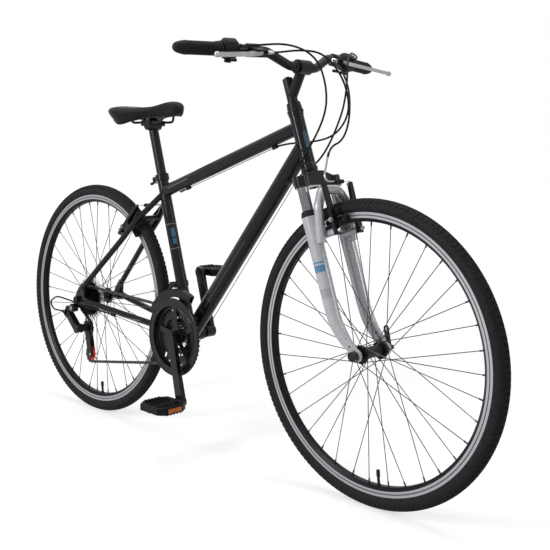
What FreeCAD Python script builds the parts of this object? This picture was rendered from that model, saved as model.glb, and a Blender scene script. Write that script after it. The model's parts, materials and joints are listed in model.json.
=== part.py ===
import FreeCAD, Part
import math
import os
import Sketcher
from types import SimpleNamespace
from FreeCAD import Placement, Rotation, Vector

# Driving sizes in millimetres and degrees, and counts. Every piece below is worked out from these.
SIZES = {
    # Main geometry
    "wheelbase": 1071,
    "tyre_radius": 348,
    "chainstay_length": 449,
    "bracket_drop": 50.5,
    "head_angle": 71.2,
    "seat_angle": 73.2,
    "fork_offset": 48,
    "running_fit": 0.05,
    "clear_gap": 0.3,
    "overrun": 4,
    # Frame tubes
    "head_low": 452,
    "head_length": 141,
    "head_radius": 18,
    "head_wall": 2.5,
    "head_collar": 1.2,
    "head_collar_height": 8,
    "top_tube_radius": 17,
    "top_tube_seat_height": 405,
    "top_tube_head_height": 104,
    "down_tube_radius": 22,
    "down_tube_head_height": 53,
    "tube_wall": 1.8,
    "seat_tube_radius": 16,
    "seat_tube_length": 455,
    "shell_radius": 20,
    "shell_width": 68,
    "shell_wall": 3,
    # Stays and dropouts
    "chainstay_radius": 9,
    "chainstay_root_side": 20,
    "chainstay_bend_back": 105,
    "chainstay_bend_side": 33,
    "chainstay_bend_radius": 120,
    "seatstay_radius": 8.5,
    "seatstay_seat_height": 398,
    "seatstay_root_side": 10,
    "seatstay_upper_side": 41,
    "seatstay_lower_side": 46,
    "seatstay_bend_radius": 70,
    "stay_wall": 1.6,
    "bridge_radius": 6.5,
    "rear_spacing": 135,
    "dropout_thickness": 6,
    "dropout_reach": 52,
    "eyelet_radius": 2.5,
    # Headset
    "cup_radius": 20.5,
    "lower_cup_height": 11,
    "upper_cup_height": 8,
    "race_radius": 18.5,
    "race_height": 7,
    "locknut_radius": 17.5,
    "locknut_height": 9,
    # Fork
    "steerer_radius": 12.7,
    "crown_low": 403,
    "crown_height": 36,
    "crown_boss_radius": 19,
    "crown_depth": 32,
    "leg_side": 57,
    "leg_ahead": 15,
    "socket_radius": 18.5,
    "socket_drop": 4,
    "stanchion_radius": 13,
    "stanchion_wall": 2,
    "stanchion_low": 215,
    "leg_top": 330,
    "leg_top_radius": 18.5,
    "leg_knee": 112,
    "leg_knee_radius": 16.5,
    "leg_bore_low": 155,
    "front_spacing": 100,
    "fork_tip_thickness": 7,
    "fork_tip_radius": 15,
    "arch_low": 262,
    "arch_shoulder": 345,
    "arch_shoulder_side": 54,
    "arch_top_side": 28,
    "arch_top": 384,
    "arch_ahead": 46,
    "arch_root_ahead": 31,
    "arch_radius": 11.5,
    "arch_bend_radius": 24,
    # Stem and handlebar
    "quill_radius": 11.1,
    "quill_low": 560,
    "stem_post_radius": 13,
    "stem_top": 681,
    "stem_root": 634,
    "stem_neck_radius": 12.5,
    "stem_clamp_up": 689,
    "stem_clamp_ahead": 56,
    "stem_clamp_radius": 18,
    "stem_clamp_width": 40,
    "stem_bolt_radius": 3.5,
    "bar_radius": 11.1,
    "bar_bulge_radius": 12.7,
    "bar_bulge_width": 64,
    "bar_wall": 2,
    "bar_flat_side": 46,
    "bar_rise_side": 110,
    "bar_rise": 31,
    "bar_rise_back": 17,
    "bar_half_width": 338,
    "bar_end_rise": 24,
    "bar_end_back": 66,
    "bar_bend_radius": 45,
    # Grips and controls
    "grip_length": 112,
    "grip_radius": 15.5,
    "grip_flange_radius": 19,
    "grip_flange_width": 4,
    "grip_tip_radius": 8,
    "grip_cap": 8,
    "grip_taper": 34,
    "pod_width": 40,
    "pod_radius": 24,
    "pod_drop": -2,
    "exit_in": 16,
    "exit_ahead": 26,
    "exit_above": 13,
    "bracket_width": 26,
    "bracket_radius": 16,
    "lever_tilt": 14,
    "lever_pivot_in": 195,
    "lever_pivot_reach": 36,
    "lever_pin_radius": 3,
    "lever_tip_in": 56,
    "lever_tip_reach": 88,
    "lever_knee_in": 157,
    "lever_knee_reach": 62,
    "lever_ear": 4,
    "lever_width": 12,
    "lever_thickness": 9,
    "barrel_radius": 4.5,
    "barrel_length": 20,
    "shift_lever_length": 34,
    "shift_lever_radius": 4,
    "shift_lever_pad": 8,
    # Wheels
    "tyre_section": 18.5,
    "tyre_wall": 3,
    "rim_radius": 317,
    "rim_depth": 22,
    "rim_half_width": 12,
    "rim_wall": 1.8,
    "rim_floor": 8,
    "rim_crown_half": 6,
    "spoke_radius": 1,
    "spoke_count": 36,
    "spoke_crossing": 3,
    "spoke_seat": 2,
    "nipple_radius": 2,
    "nipple_length": 11,
    "axle_radius": 4.6,
    "front_flange_side": 35,
    "front_flange_radius": 21,
    "flange_thickness": 3.5,
    "front_hub_radius": 13,
    "hub_neck_radius": 9.5,
    "rear_left_flange_side": 36,
    "rear_right_flange_side": 21,
    "rear_flange_radius": 24,
    "rear_hub_radius": 16,
    "freewheel_seat_radius": 17,
    "freewheel_seat_length": 20,
    "nut_radius": 10,
    "nut_width": 10,
    "locknut_end_radius": 9,
    "lock_spacer": 5,
    "skewer_cap_radius": 11,
    "skewer_cap_width": 12,
    "skewer_lever_length": 52,
    "skewer_lever_lean": 8,
    "skewer_lever_radius": 5,
    # Drive train
    "chain_pitch": 12.7,
    "roller_radius": 3.85,
    "tooth_clearance": 0.25,
    "tooth_height": 3.6,
    "tooth_tip": 1.6,
    "tooth_width": 1.9,
    "gap_turn": 60,
    "outer_ring_teeth": 48,
    "middle_ring_teeth": 36,
    "inner_ring_teeth": 26,
    "ring_spacing": 7,
    "chain_line": 47,
    "ring_band": 16,
    "cog_spacing": 5,
    "cog_core_radius": 22,
    "plate_radius": 4.1,
    "plate_thickness": 1,
    "link_inner_width": 2.4,
    "plate_gap": 0.12,
    "chain_pin_radius": 1.8,
    "crank_length": 170,
    "crank_angle": 24,
    "crank_boss_radius": 17,
    "crank_boss_inner": 48,
    "crank_boss_outer": 76,
    "crank_end_radius": 14,
    "crank_end_inner": 86,
    "crank_thickness": 13,
    "crank_proud": 1.5,
    "spider_arms": 5,
    "spider_reach": 84,
    "spider_arm_width": 14,
    "spider_hub_radius": 26,
    "ring_post_radius": 5,
    "ring_post_reach": 42,
    "middle_post_reach": 60,
    "guard_radius": 105,
    "guard_inner_radius": 84,
    "guard_thickness": 3,
    "guard_side": 61,
    "spindle_radius": 8.5,
    "spindle_half_length": 62,
    "bracket_cup_flange": 3,
    "bracket_cup_depth": 16,
    "pedal_axle_radius": 5,
    "pedal_collar_radius": 8,
    "pedal_collar_width": 6,
    "pedal_width": 92,
    "pedal_length": 98,
    "pedal_height": 26,
    "pedal_bar": 11,
    "pedal_barrel_radius": 12,
    # Front derailleur
    "changer_height": 140,
    "changer_band_height": 14,
    "changer_band_wall": 2.5,
    "changer_arm_side": 30,
    "changer_pin_radius": 2.5,
    "changer_cage_height": 22,
    "changer_cage_plate": 1.2,
    "changer_cage_half": 6.5,
    "changer_clearance": 2,
    "changer_ear": 5,
    "changer_front": 62,
    "changer_tail": 152,
    "changer_bridge": 115,
    "changer_pin_turn": 3,
    # Rear derailleur
    "hanger_back": 12,
    "hanger_drop": 28,
    "hanger_bolt_radius": 5,
    "mech_knuckle_radius": 11,
    "mech_knuckle_width": 16,
    "mech_pivot_back": 38,
    "mech_pivot_drop": 44,
    "mech_link_width": 20,
    "mech_link_thickness": 5,
    "mech_pin_radius": 2.5,
    "pulley_teeth": 11,
    "pulley_width": 2.2,
    "guide_ahead": 16,
    "guide_drop": 86,
    "cage_length": 82,
    "cage_plate": 2,
    "cage_half": 5,
    "cage_width": 22,
    "cage_angle": 8.5,
    "cage_swing": 20,
    "settle_turns": 50,
    "cage_shaft_radius": 4,
    "link_clearance": 2.2,
    # Brakes
    "track_drop": 10.5,
    "boss_ahead": 67,
    "boss_side": 40,
    "boss_radius": 4,
    "boss_length": 16,
    "boss_collar_radius": 8,
    "arm_thickness": 9,
    "arm_reach": 114,
    "arm_foot": 9,
    "arm_width": 16,
    "arm_tip_width": 11,
    "arm_lean": 7,
    "pad_up": 27,
    "pad_gap": 2,
    "pad_back": 10,
    "pad_length": 62,
    "pad_height": 11,
    "pad_thickness": 10,
    "pad_pin_radius": 3,
    "noodle_radius": 2.4,
    "noodle_rise": 60,
    "noodle_lean": 38,
    "noodle_reach": 40,
    "rear_noodle_rise": 30,
    "noodle_bend_radius": 12,
    "boot_radius": 5,
    "boot_length": 30,
    "stay_boss_side": 41,
    "stay_boss_out": 17,
    # Saddle and post
    "post_radius": 13.6,
    "post_low": 372,
    "post_head": 596,
    "rail_height": 14,
    "rail_side": 22,
    "rail_radius": 3.5,
    "rail_back": 66,
    "rail_ahead": 62,
    "rail_lift": 40,
    "rail_tuck": 26,
    "rail_nose_side": 9,
    "rail_rear_side": 30,
    "rail_nose_lift": 44,
    "rail_bend_radius": 16,
    "clamp_length": 40,
    "clamp_height": 10,
    "clamp_width": 56,
    "saddle_length": 276,
    "saddle_back": 146,
    "saddle_half_width": 82,
    "saddle_depth": 62,
    "saddle_base": 5,
    "saddle_shell": 10,
    "collar_radius": 19.5,
    "collar_height": 17,
    "collar_lip": 2,
    "collar_ear_length": 16,
    "collar_ear_width": 18,
    "collar_lever_length": 44,
    "collar_lever_radius": 4.5,
    # Cables
    "housing_radius": 2.4,
    "wire_radius": 0.9,
    "stop_radius": 4.5,
    "stop_length": 14,
    "stop_side": 13,
    "stop_dip": 2,
    "stop_lead": 30,
    "wire_ahead": 10,
    "wire_bend": 26,
    "guide_length": 26,
    "guide_width": 34,
    "guide_thickness": 8,
}

# Outlines as shares of the size that each follows
LEFT_DROPOUT_SHARES = [
    (0.16, -0.28), (0.38, -0.26), (1, -0.2), (1, 0.1), (0.58, 0.2),
    (0.62, 0.86), (0.3, 0.94), (-0.14, 0.36), (-0.3, 0.02), (-0.28, -0.26),
]
RIGHT_DROPOUT_SHARES = [
    (0.16, -0.28), (0.38, -0.26), (1, -0.2), (1, 0.1), (0.58, 0.2),
    (0.62, 0.86), (0.3, 0.94), (-0.14, 0.36), (-0.34, 0.02), (-0.46, -0.5), (-0.36, -0.7),
    (-0.16, -0.72), (-0.1, -0.5), (-0.1, -0.3),
]
SEATSTAY_BEND_SHARES = (0.27, 0.47)
COG_TEETH = (28, 24, 22, 20, 18, 16, 14)
# Saddle stations: length, half width, crown, edge and base, each as a share
SADDLE_SHARES = [
    (0.0, 0.56, 0.83, 0.70, 0.50),
    (0.09, 0.86, 0.90, 0.62, 0.26),
    (0.22, 0.97, 0.88, 0.55, 0.0),
    (0.40, 0.80, 0.82, 0.54, 0.14),
    (0.60, 0.47, 0.83, 0.60, 0.30),
    (0.82, 0.29, 1.0, 0.76, 0.36),
    (0.95, 0.24, 0.95, 0.72, 0.34),
    (1.0, 0.15, 0.78, 0.66, 0.46),
]
SADDLE_WAIST_SHARE = 0.72
# Pedal outline: length and width, each as a share of its half
PEDAL_SHARES = (
    (-1, -0.6), (-0.72, -1), (0.72, -1), (1, -0.6), (1, 0.6), (0.72, 1), (-0.72, 1), (-1, 0.6),
)
SADDLE_TUCK_SHARE = 0.55
# Crank arm stations: reach and half width, each as a share
CRANK_SHARES = ((0, 0.85), (0.12, 0.85), (0.5, 0.72), (0.9, 0.8), (1, 0.8))
# Lower fork leg stations: height, ahead, half depth and half thickness, each as a share
LEG_SHARES = (
    (1.06, 0, 0.96, 0.93),
    (0.62, 0.14, 1.02, 0.86),
    (0.3, 0.52, 1, 0.56),
    (0.06, 1, 0.85, 0.19),
)

LARGEST_ARC_SHARE = 0.45
EYELET_SHARES = (0.16, 0.46)
CHAINSTAY_END_SHARES = (0.8, -0.05)
SEATSTAY_END_SHARES = (0.42, 0.72)
HIGH_BRIDGE_SHARE = 0.9
LOW_BRIDGE_SHARE = 0.62
TOP_STOP_SHARES = (0.19, 0.83)
DOWN_STOP_SHARE = 0.86
CHAINSTAY_STOP_SHARE = 0.62
STOP_LIFT_SHARE = 0.8
CROWN_SHOULDER_SHARE = 0.62
# Holes in the fork tips: height and distance ahead, as shares of the leg knee's height and radius
FORK_HOLE_SHARES = ((0.2, -0.35), (0.36, -0.6))
POD_EXIT_SHARE = 0.6
BARREL_REACH_SHARE = 0.6
PLATE_WAIST_SHARE = 0.8
ARM_KNEE_SHARE = 0.35
HOLLOW_SIDE_SHARE = 0.9
SADDLE_FLANK_SHARE = 0.93
POD_EDGE_SHARE = 0.72
POD_CHAMFER_SHARE = 0.2
# Thumb lever direction: ahead and out
SHIFT_LEVER_SHARES = (-0.45, -0.9)
# Brake lever edge: station (pivot, knee or tip), then along and across as shares of the lever's width
LEVER_SHARES = (
    (0, -0.6, -0.55), (0, 0.5, -0.65), (1, 0.3, -0.5), (2, -0.5, -0.4), (2, 0.3, -0.25),
    (2, 0.3, 0.35), (2, -0.7, 0.5), (1, -0.3, 0.5), (0, -0.3, 0.7), (0, -0.7, 0.35),
)
SPOKE_SEAT_SHARE = 0.7
BLADE_ROOT_SHARE = 0.7

# Cable routes, as corner points between the two ends of each housing
# Control cables: up, ahead and to the side of the steering axis
FRONT_BRAKE_ROUTE = ((675.3, 103.1, 84), (610.3, 123.2, 70), (532.6, 118.9, 46), (485.6, 101.8, 22))
REAR_BRAKE_ROUTE = (
    (705.6, 110.2, -60), (687.7, 144.2, -25), (640.8, 157.9, 0), (594.3, 154.7, 18), (545.5, 127.5, 40),
    (514.5, 69.5, 48), (515.9, 9.7, 42),
)
FRONT_SHIFT_ROUTE = (
    (710.9, 125.7, 110), (673.1, 149.8, 55), (603.9, 142.1, 36), (540.8, 110.1, 28), (467.1, 16.3, 34),
)
REAR_SHIFT_ROUTE = (
    (710.9, 125.7, -110), (673.1, 149.8, -55), (603.9, 142.1, -36), (540.8, 110.1, -28),
    (467.1, 16.3, -34),
)
# Rear gear housing: behind, beside and above the rear axle
REAR_LOOP_ROUTE = (
    (60.5, -80, -16), (-19.5, -92, -2), (-89.5, -93, 2), (-129.5, -90, -20), (-119.5, -84, -44),
)
# Rear brake housing: up, ahead and to the side of the seat tube's axis
REAR_NOODLE_ROUTE = ((391.3, 41.2, 22), (419.2, 11, 44))

AXIS_X = Vector(1, 0, 0)
AXIS_Y = Vector(0, 1, 0)
AXIS_Z = Vector(0, 0, 1)
BOTH_SIDES = (1, -1)

doc = FreeCAD.newDocument("hybrid_bike")
sheet = doc.addObject("Spreadsheet::Sheet", "Sizes")
for row, (name, number) in enumerate(SIZES.items(), 1):
    sheet.set(f"A{row}", name)
    sheet.set(f"B{row}", str(number))
    sheet.setAlias(f"B{row}", name)
doc.recompute()


def formula(number):
    """The sheet formula of a size, or a plain number as text."""
    return number.formula if isinstance(number, Size) else repr(float(number))


class Size(float):
    """A number from the sheet that remembers the sheet formula it came from."""

    def __new__(cls, number, text):
        size = super().__new__(cls, number)
        size.formula = text
        return size

    def __add__(self, other):
        return Size(float(self) + float(other), f"({self.formula} + {formula(other)})")

    def __radd__(self, other):
        return Size(float(other) + float(self), f"({formula(other)} + {self.formula})")

    def __sub__(self, other):
        return Size(float(self) - float(other), f"({self.formula} - {formula(other)})")

    def __rsub__(self, other):
        return Size(float(other) - float(self), f"({formula(other)} - {self.formula})")

    def __mul__(self, other):
        if isinstance(other, Vector):
            return other * float(self)
        return Size(float(self) * float(other), f"({self.formula} * {formula(other)})")

    def __rmul__(self, other):
        if isinstance(other, Vector):
            return other * float(self)
        return Size(float(other) * float(self), f"({formula(other)} * {self.formula})")

    def __truediv__(self, other):
        return Size(float(self) / float(other), f"({self.formula} / {formula(other)})")

    def __neg__(self):
        return Size(-float(self), f"(0 - {self.formula})")


s = SimpleNamespace(**{name: Size(sheet.get(name), f"Sizes.{name}") for name in SIZES})


def bind(feature, **values):
    """Set each size of a feature, tied to the sheet where it comes from there."""
    for key, number in values.items():
        setattr(feature, key, float(number))
        if isinstance(number, Size):
            feature.setExpression(key, number.formula)
    return feature


def aim(at, along):
    """Place a piece that stands on its own Z axis."""
    return Placement(at, Rotation(AXIS_Z, along))


def facing(at, across, up):
    """Place a flat outline: its X runs along across and its Y along up."""
    return Placement(at, Rotation(across, up, across.cross(up), "XYZ"))


def new(kind, label):
    return doc.addObject(kind, label)


def rod(start, end, radius):
    """A round bar from one point to another."""
    piece = new("Part::Cylinder", "rod")
    bind(piece, Radius=radius, Height=(end - start).Length)
    piece.Placement = aim(start, end - start)
    return piece


def taper(start, end, start_radius, end_radius):
    """A round bar whose radius changes along its length."""
    piece = new("Part::Cone", "taper")
    bind(piece, Radius1=start_radius, Radius2=end_radius, Height=(end - start).Length)
    piece.Placement = aim(start, end - start)
    return piece


def block(middle, across, up, length, height, thickness):
    """A box centred on a point, with its length along across and its height along up."""
    piece = new("Part::Box", "block")
    bind(piece, Length=length, Width=height, Height=thickness)
    corner = Placement(Vector(-length / 2, -height / 2, -thickness / 2), Rotation())
    piece.Placement = facing(middle, across, up).multiply(corner)
    return piece


def cut(base, *tools):
    for tool in tools:
        piece = new("Part::Cut", "cut")
        piece.Base = base
        piece.Tool = tool
        base = piece
    return base


def fuse(*pieces):
    whole = new("Part::MultiFuse", "fuse")
    whole.Shapes = list(pieces)
    whole.Refine = False
    return whole


def group(*pieces):
    whole = new("Part::Compound", "group")
    whole.Links = list(pieces)
    return whole


def formed(shape):
    """A piece whose form is made directly from curves."""
    piece = new("Part::Feature", "formed")
    piece.Shape = shape
    piece.Placement = Placement(piece.Placement)
    return piece


def outline(body, corners):
    """A closed sketch through corners, each corner tied to the sheet."""
    sketch = body.newObject("Sketcher::SketchObject", "outline")
    plane = next(item for item in body.Origin.OriginFeatures if item.Role == "XY_Plane")
    sketch.AttachmentSupport = [(plane, "")]
    sketch.MapMode = "FlatFace"
    spots = [Vector(across, up, 0) for across, up in corners]
    count = len(spots)
    for index, spot in enumerate(spots):
        sketch.addGeometry(Part.LineSegment(spot, spots[(index + 1) % count]), False)
    for index in range(count):
        sketch.addConstraint(Sketcher.Constraint("Coincident", index, 2, (index + 1) % count, 1))
    for index, corner in enumerate(corners):
        for kind, axis, number in (("DistanceX", -2, corner[0]), ("DistanceY", -1, corner[1])):
            if float(number) == 0:
                sketch.addConstraint(Sketcher.Constraint("PointOnObject", index, 1, axis))
                continue
            spot = sketch.addConstraint(Sketcher.Constraint(kind, -1, 1, index, 1, float(number)))
            if isinstance(number, Size):
                sketch.setExpression(f"Constraints[{spot}]", number.formula)
    return sketch


def turned(corners, at, along):
    """A piece turned about its own axis: each corner is a radius and a height on that axis."""
    body = new("PartDesign::Body", "turned")
    sketch = outline(body, corners)
    spin = body.newObject("PartDesign::Revolution", "spin")
    spin.Profile = sketch
    spin.ReferenceAxis = (sketch, ["V_Axis"])
    spin.Angle = 360
    along = Vector(along).normalize()
    side = along.cross(AXIS_Y if abs(along.y) < abs(along.x) + abs(along.z) else AXIS_X).normalize()
    body.Placement = Placement(at, Rotation(side, along, side.cross(along), "XYZ"))
    return body


def padded(corners, thickness, at, across, up):
    """A flat plate: its outline lies across and up, and it grows along their cross product."""
    body = new("PartDesign::Body", "padded")
    sketch = outline(body, corners)
    pad = body.newObject("PartDesign::Pad", "pad")
    pad.Profile = sketch
    bind(pad, Length=thickness)
    body.Placement = facing(at, across, up)
    return body


def tube(start, end, radius, wall):
    return cut(rod(start, end, radius), rod(start, end, radius - wall))


def route(points, bend=None):
    """Straight runs joined by tangent arcs of one radius, or of the largest that each corner allows."""
    edges = []
    start = points[0]
    for before, corner, after in zip(points, points[1:], points[2:]):
        into = (corner - before).normalize()
        out = (after - corner).normalize()
        half = into.getAngle(out) / 2
        run = min((corner - before).Length, (after - corner).Length)
        radius = bend if bend else LARGEST_ARC_SHARE * run / math.tan(half)
        reach = radius * math.tan(half)
        first = corner - into * reach
        last = corner + out * reach
        crest = corner + (out - into).normalize() * (radius / math.cos(half) - radius)
        edges.append(Part.LineSegment(start, first).toShape())
        edges.append(Part.Arc(first, crest, last).toShape())
        start = last
    edges.append(Part.LineSegment(start, points[-1]).toShape())
    return Part.Wire(edges)


def swept(points, radius, bend=None):
    """A round tube's solid along a route."""
    path = route(points, bend)
    ring = Part.Wire(Part.makeCircle(radius, points[0], points[1] - points[0]))
    return path.makePipeShell([ring], True, False)


def bent(points, radius, bend=None):
    return formed(swept(points, radius, bend))


def between(start, end, share, side=None):
    spot = start + (end - start) * share
    return Vector(spot.x, spot.y if side is None else side, spot.z)


NODES = []


def node(label, piece):
    piece.Label = label
    NODES.append(piece)
    return piece


# Key points
rear_axle_at = Vector(-s.wheelbase / 2, 0, s.tyre_radius)
front_axle_at = Vector(s.wheelbase / 2, 0, s.tyre_radius)
bracket_reach = math.sqrt(s.chainstay_length**2 - s.bracket_drop**2)
bracket_at = rear_axle_at + Vector(bracket_reach, 0, -s.bracket_drop)


def slope(angle):
    turn = math.radians(angle)
    return Vector(-math.cos(turn), 0, math.sin(turn))


steer_up = slope(s.head_angle)
steer_ahead = AXIS_Y.cross(steer_up)
seat_up = slope(s.seat_angle)
seat_ahead = AXIS_Y.cross(seat_up)
steer_foot = front_axle_at - steer_ahead * s.fork_offset


def on_steer(up, ahead=0, side=0):
    return steer_foot + steer_up * up + steer_ahead * ahead + AXIS_Y * side


def on_seat(up, ahead=0, side=0):
    return bracket_at + seat_up * up + seat_ahead * ahead + AXIS_Y * side


head_high = s.head_low + s.head_length
dropout_middle = (s.rear_spacing + s.dropout_thickness) / 2
brake_reach = s.rim_radius - s.track_drop - s.pad_up
top_rear = on_seat(s.top_tube_seat_height)
top_front = on_steer(s.head_low + s.top_tube_head_height)
top_along = (top_front - top_rear).normalize()
down_front = on_steer(s.head_low + s.down_tube_head_height)
down_along = (down_front - bracket_at).normalize()


def make_main_tubes():
    bore = s.head_radius - s.head_wall
    collar = s.head_radius + s.head_collar
    slope_end = s.head_collar_height + s.head_collar
    node("head_tube", turned(
        [
            (bore, 0), (collar, 0), (collar, s.head_collar_height), (s.head_radius, slope_end),
            (s.head_radius, s.head_length - slope_end), (collar, s.head_length - s.head_collar_height),
            (collar, s.head_length), (bore, s.head_length),
        ],
        on_steer(s.head_low), steer_up))
    head_core = rod(on_steer(s.head_low), on_steer(head_high), s.head_radius)
    seat_core = rod(bracket_at, on_seat(s.seat_tube_length), s.seat_tube_radius)
    half_shell = AXIS_Y * (s.shell_width / 2)
    shell_core = rod(bracket_at - half_shell, bracket_at + half_shell, s.shell_radius)
    top_core = rod(top_rear, top_front, s.top_tube_radius)
    top_bore = rod(top_rear, top_front, s.top_tube_radius - s.tube_wall)
    node("top_tube", cut(top_core, top_bore, head_core, seat_core))
    down_core = rod(bracket_at, down_front, s.down_tube_radius)
    down_bore = rod(bracket_at, down_front, s.down_tube_radius - s.tube_wall)
    node("down_tube", cut(down_core, down_bore, head_core, shell_core, seat_core))
    seat_wall = s.seat_tube_radius - s.post_radius - s.running_fit
    seat = tube(bracket_at, on_seat(s.seat_tube_length), s.seat_tube_radius, seat_wall)
    node("seat_tube", cut(seat, shell_core))
    shell = tube(bracket_at - half_shell, bracket_at + half_shell, s.shell_radius, s.shell_wall)
    node("bottom_bracket_shell", shell)
    return top_core, down_core, seat_core, shell_core


def make_dropouts():
    """Rear end plates with open axle slots, the right one drawn down into the gear hanger."""
    plates = []
    for side, shares in zip(BOTH_SIDES, (LEFT_DROPOUT_SHARES, RIGHT_DROPOUT_SHARES)):
        corners = [(s.dropout_reach * across, s.dropout_reach * up) for across, up in shares]
        face = rear_axle_at + AXIS_Y * (side * dropout_middle + s.dropout_thickness / 2)
        plate = padded(corners, s.dropout_thickness, face, AXIS_X, AXIS_Z)
        through = AXIS_Y * (s.dropout_thickness + s.overrun)
        middle = rear_axle_at + AXIS_Y * (side * dropout_middle)
        slot = rod(middle - through, middle + through, s.axle_radius + s.running_fit)
        mouth = block(middle - AXIS_Z * s.dropout_reach, AXIS_X, AXIS_Z, (s.axle_radius + s.running_fit) * 2,
                      s.dropout_reach * 2, s.dropout_thickness + s.overrun)
        eyelet = middle + Vector(s.dropout_reach * EYELET_SHARES[0], 0, s.dropout_reach * EYELET_SHARES[1])
        holes = [slot, mouth, rod(eyelet - through, eyelet + through, s.eyelet_radius)]
        if side < 0:
            hanger = middle - AXIS_X * s.hanger_back - AXIS_Z * s.hanger_drop
            holes.append(rod(hanger - through, hanger + through, s.hanger_bolt_radius))
        plates.append(cut(plate, *holes))
    return plates


def make_stays(plates, seat_core, shell_core, top_core):
    """Hollow rear stays drawn in round the tyre. Gives back each side's corner points and solid cores."""
    chainstays = []
    seatstays = []
    sides = []
    reach = s.dropout_reach
    for side, plate in zip(BOTH_SIDES, plates):
        hub = rear_axle_at + AXIS_Y * (side * dropout_middle)
        root = bracket_at + AXIS_Y * (side * s.chainstay_root_side)
        end = hub + AXIS_X * (reach * CHAINSTAY_END_SHARES[0]) + AXIS_Z * (reach * CHAINSTAY_END_SHARES[1])
        knee = between(root, end, s.chainstay_bend_back / bracket_reach, side * s.chainstay_bend_side)
        low_line = [root, knee, end]
        low_core = bent(low_line, s.chainstay_radius, s.chainstay_bend_radius)
        low_bore = bent(low_line, s.chainstay_radius - s.stay_wall, s.chainstay_bend_radius)
        chainstays.append(cut(low_core, low_bore, shell_core, plate))
        top = on_seat(s.seatstay_seat_height, 0, side * s.seatstay_root_side)
        foot = hub + AXIS_X * (reach * SEATSTAY_END_SHARES[0]) + AXIS_Z * (reach * SEATSTAY_END_SHARES[1])
        upper = between(top, foot, SEATSTAY_BEND_SHARES[0], side * s.seatstay_upper_side)
        lower = between(top, foot, SEATSTAY_BEND_SHARES[1], side * s.seatstay_lower_side)
        high_line = [top, upper, lower, foot]
        high_core = bent(high_line, s.seatstay_radius, s.seatstay_bend_radius)
        high_bore = bent(high_line, s.seatstay_radius - s.stay_wall, s.seatstay_bend_radius)
        seatstays.append(cut(high_core, high_bore, seat_core, plate, top_core))
        sides.append(SimpleNamespace(
            root=root, knee=knee, end=end, top=top, upper=upper, foot=foot,
            low_core=low_core, high_core=high_core,
        ))
    node("chainstays", group(*chainstays))
    node("seatstays", group(seatstays[0], cut(seatstays[1], seatstays[0])))
    node("dropouts", group(*plates))
    return sides


def stay_spot(stay, distance):
    """The point on a seatstay at one distance from the rear axle, and the way up the stay."""
    start = Vector(stay.foot.x, 0, stay.foot.z)
    up = (Vector(stay.top.x, 0, stay.top.z) - start).normalize()
    lead = (start - rear_axle_at).dot(up)
    off = (start - rear_axle_at).Length
    run = math.sqrt(lead**2 + distance**2 - off**2) - lead
    return start + up * run, up


def cable_stop(middle, along):
    half = along * (s.stop_length / 2)
    return tube(middle - half, middle + half, s.stop_radius, s.stop_radius - s.housing_radius - s.running_fit)


def make_braze_ons(stays, top_core, down_core, shell_core):
    """Bridges, brake studs, cable stops and the cable guide under the bottom bracket."""
    left, right = stays
    pieces = []
    high = [between(stay.top, stay.upper, HIGH_BRIDGE_SHARE) for stay in stays]
    pieces.append(cut(rod(high[0], high[1], s.bridge_radius), left.high_core, right.high_core))
    low = [between(stay.root, stay.knee, LOW_BRIDGE_SHARE) for stay in stays]
    pieces.append(cut(rod(low[0], low[1], s.bridge_radius), left.low_core, right.low_core))
    for side, stay in zip(BOTH_SIDES, stays):
        spot, up, out = rear_brake_seat(stay, side)
        collar = rod(spot - out * s.stay_boss_out, spot, s.boss_collar_radius)
        stud = rod(spot - out * s.stay_boss_out, spot + out * s.boss_length, s.boss_radius)
        pieces.append(cut(fuse(collar, stud), stay.high_core))
    for share in TOP_STOP_SHARES:
        pieces.append(cut(cable_stop(top_line(share), top_along), top_core))
    for side in BOTH_SIDES:
        pieces.append(cut(cable_stop(down_line(DOWN_STOP_SHARE, side), down_along), down_core))
    pieces.append(
        cut(cable_stop(chainstay_stop(right), (right.end - right.knee).normalize()), right.low_core),
    )
    guide = block(
        bracket_at - AXIS_Z * s.shell_radius, AXIS_X, AXIS_Y, s.guide_length, s.guide_width,
        s.guide_thickness,
    )
    pieces.append(cut(guide, shell_core))
    node("frame_braze_ons", group(*pieces))


def rear_brake_seat(stay, side):
    """Where a rear brake arm sits on its stud, the way up the arm and the way out from the stay."""
    spot, up = stay_spot(stay, brake_reach)
    out = up.cross(AXIS_Y)
    return spot + out * s.stay_boss_out + AXIS_Y * (side * s.stay_boss_side), up, out


def front_brake_seat(side):
    return on_steer(brake_reach, s.boss_ahead, side * s.boss_side), steer_up, steer_ahead


def top_line(share):
    """A point under the top tube, where its cable stops sit."""
    below = top_along.cross(AXIS_Y)
    return between(top_rear, top_front, share) - below * (s.top_tube_radius + s.stop_radius * STOP_LIFT_SHARE)


def down_line(share, side):
    """A point under the down tube, to one side, where a gear cable runs."""
    below = AXIS_Y.cross(down_along)
    spot = between(bracket_at, down_front, share) + AXIS_Y * (side * s.stop_side)
    return spot + below * (s.down_tube_radius + s.stop_radius * STOP_LIFT_SHARE - s.stop_dip)


def chainstay_stop(stay):
    spot = between(stay.knee, stay.end, CHAINSTAY_STOP_SHARE)
    return spot - AXIS_Z * (s.chainstay_radius + s.stop_radius * STOP_LIFT_SHARE)


def ring(inner, outer, start, end):
    """A plain ring between two points on its axis."""
    return tube(start, end, outer, outer - inner)


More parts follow.
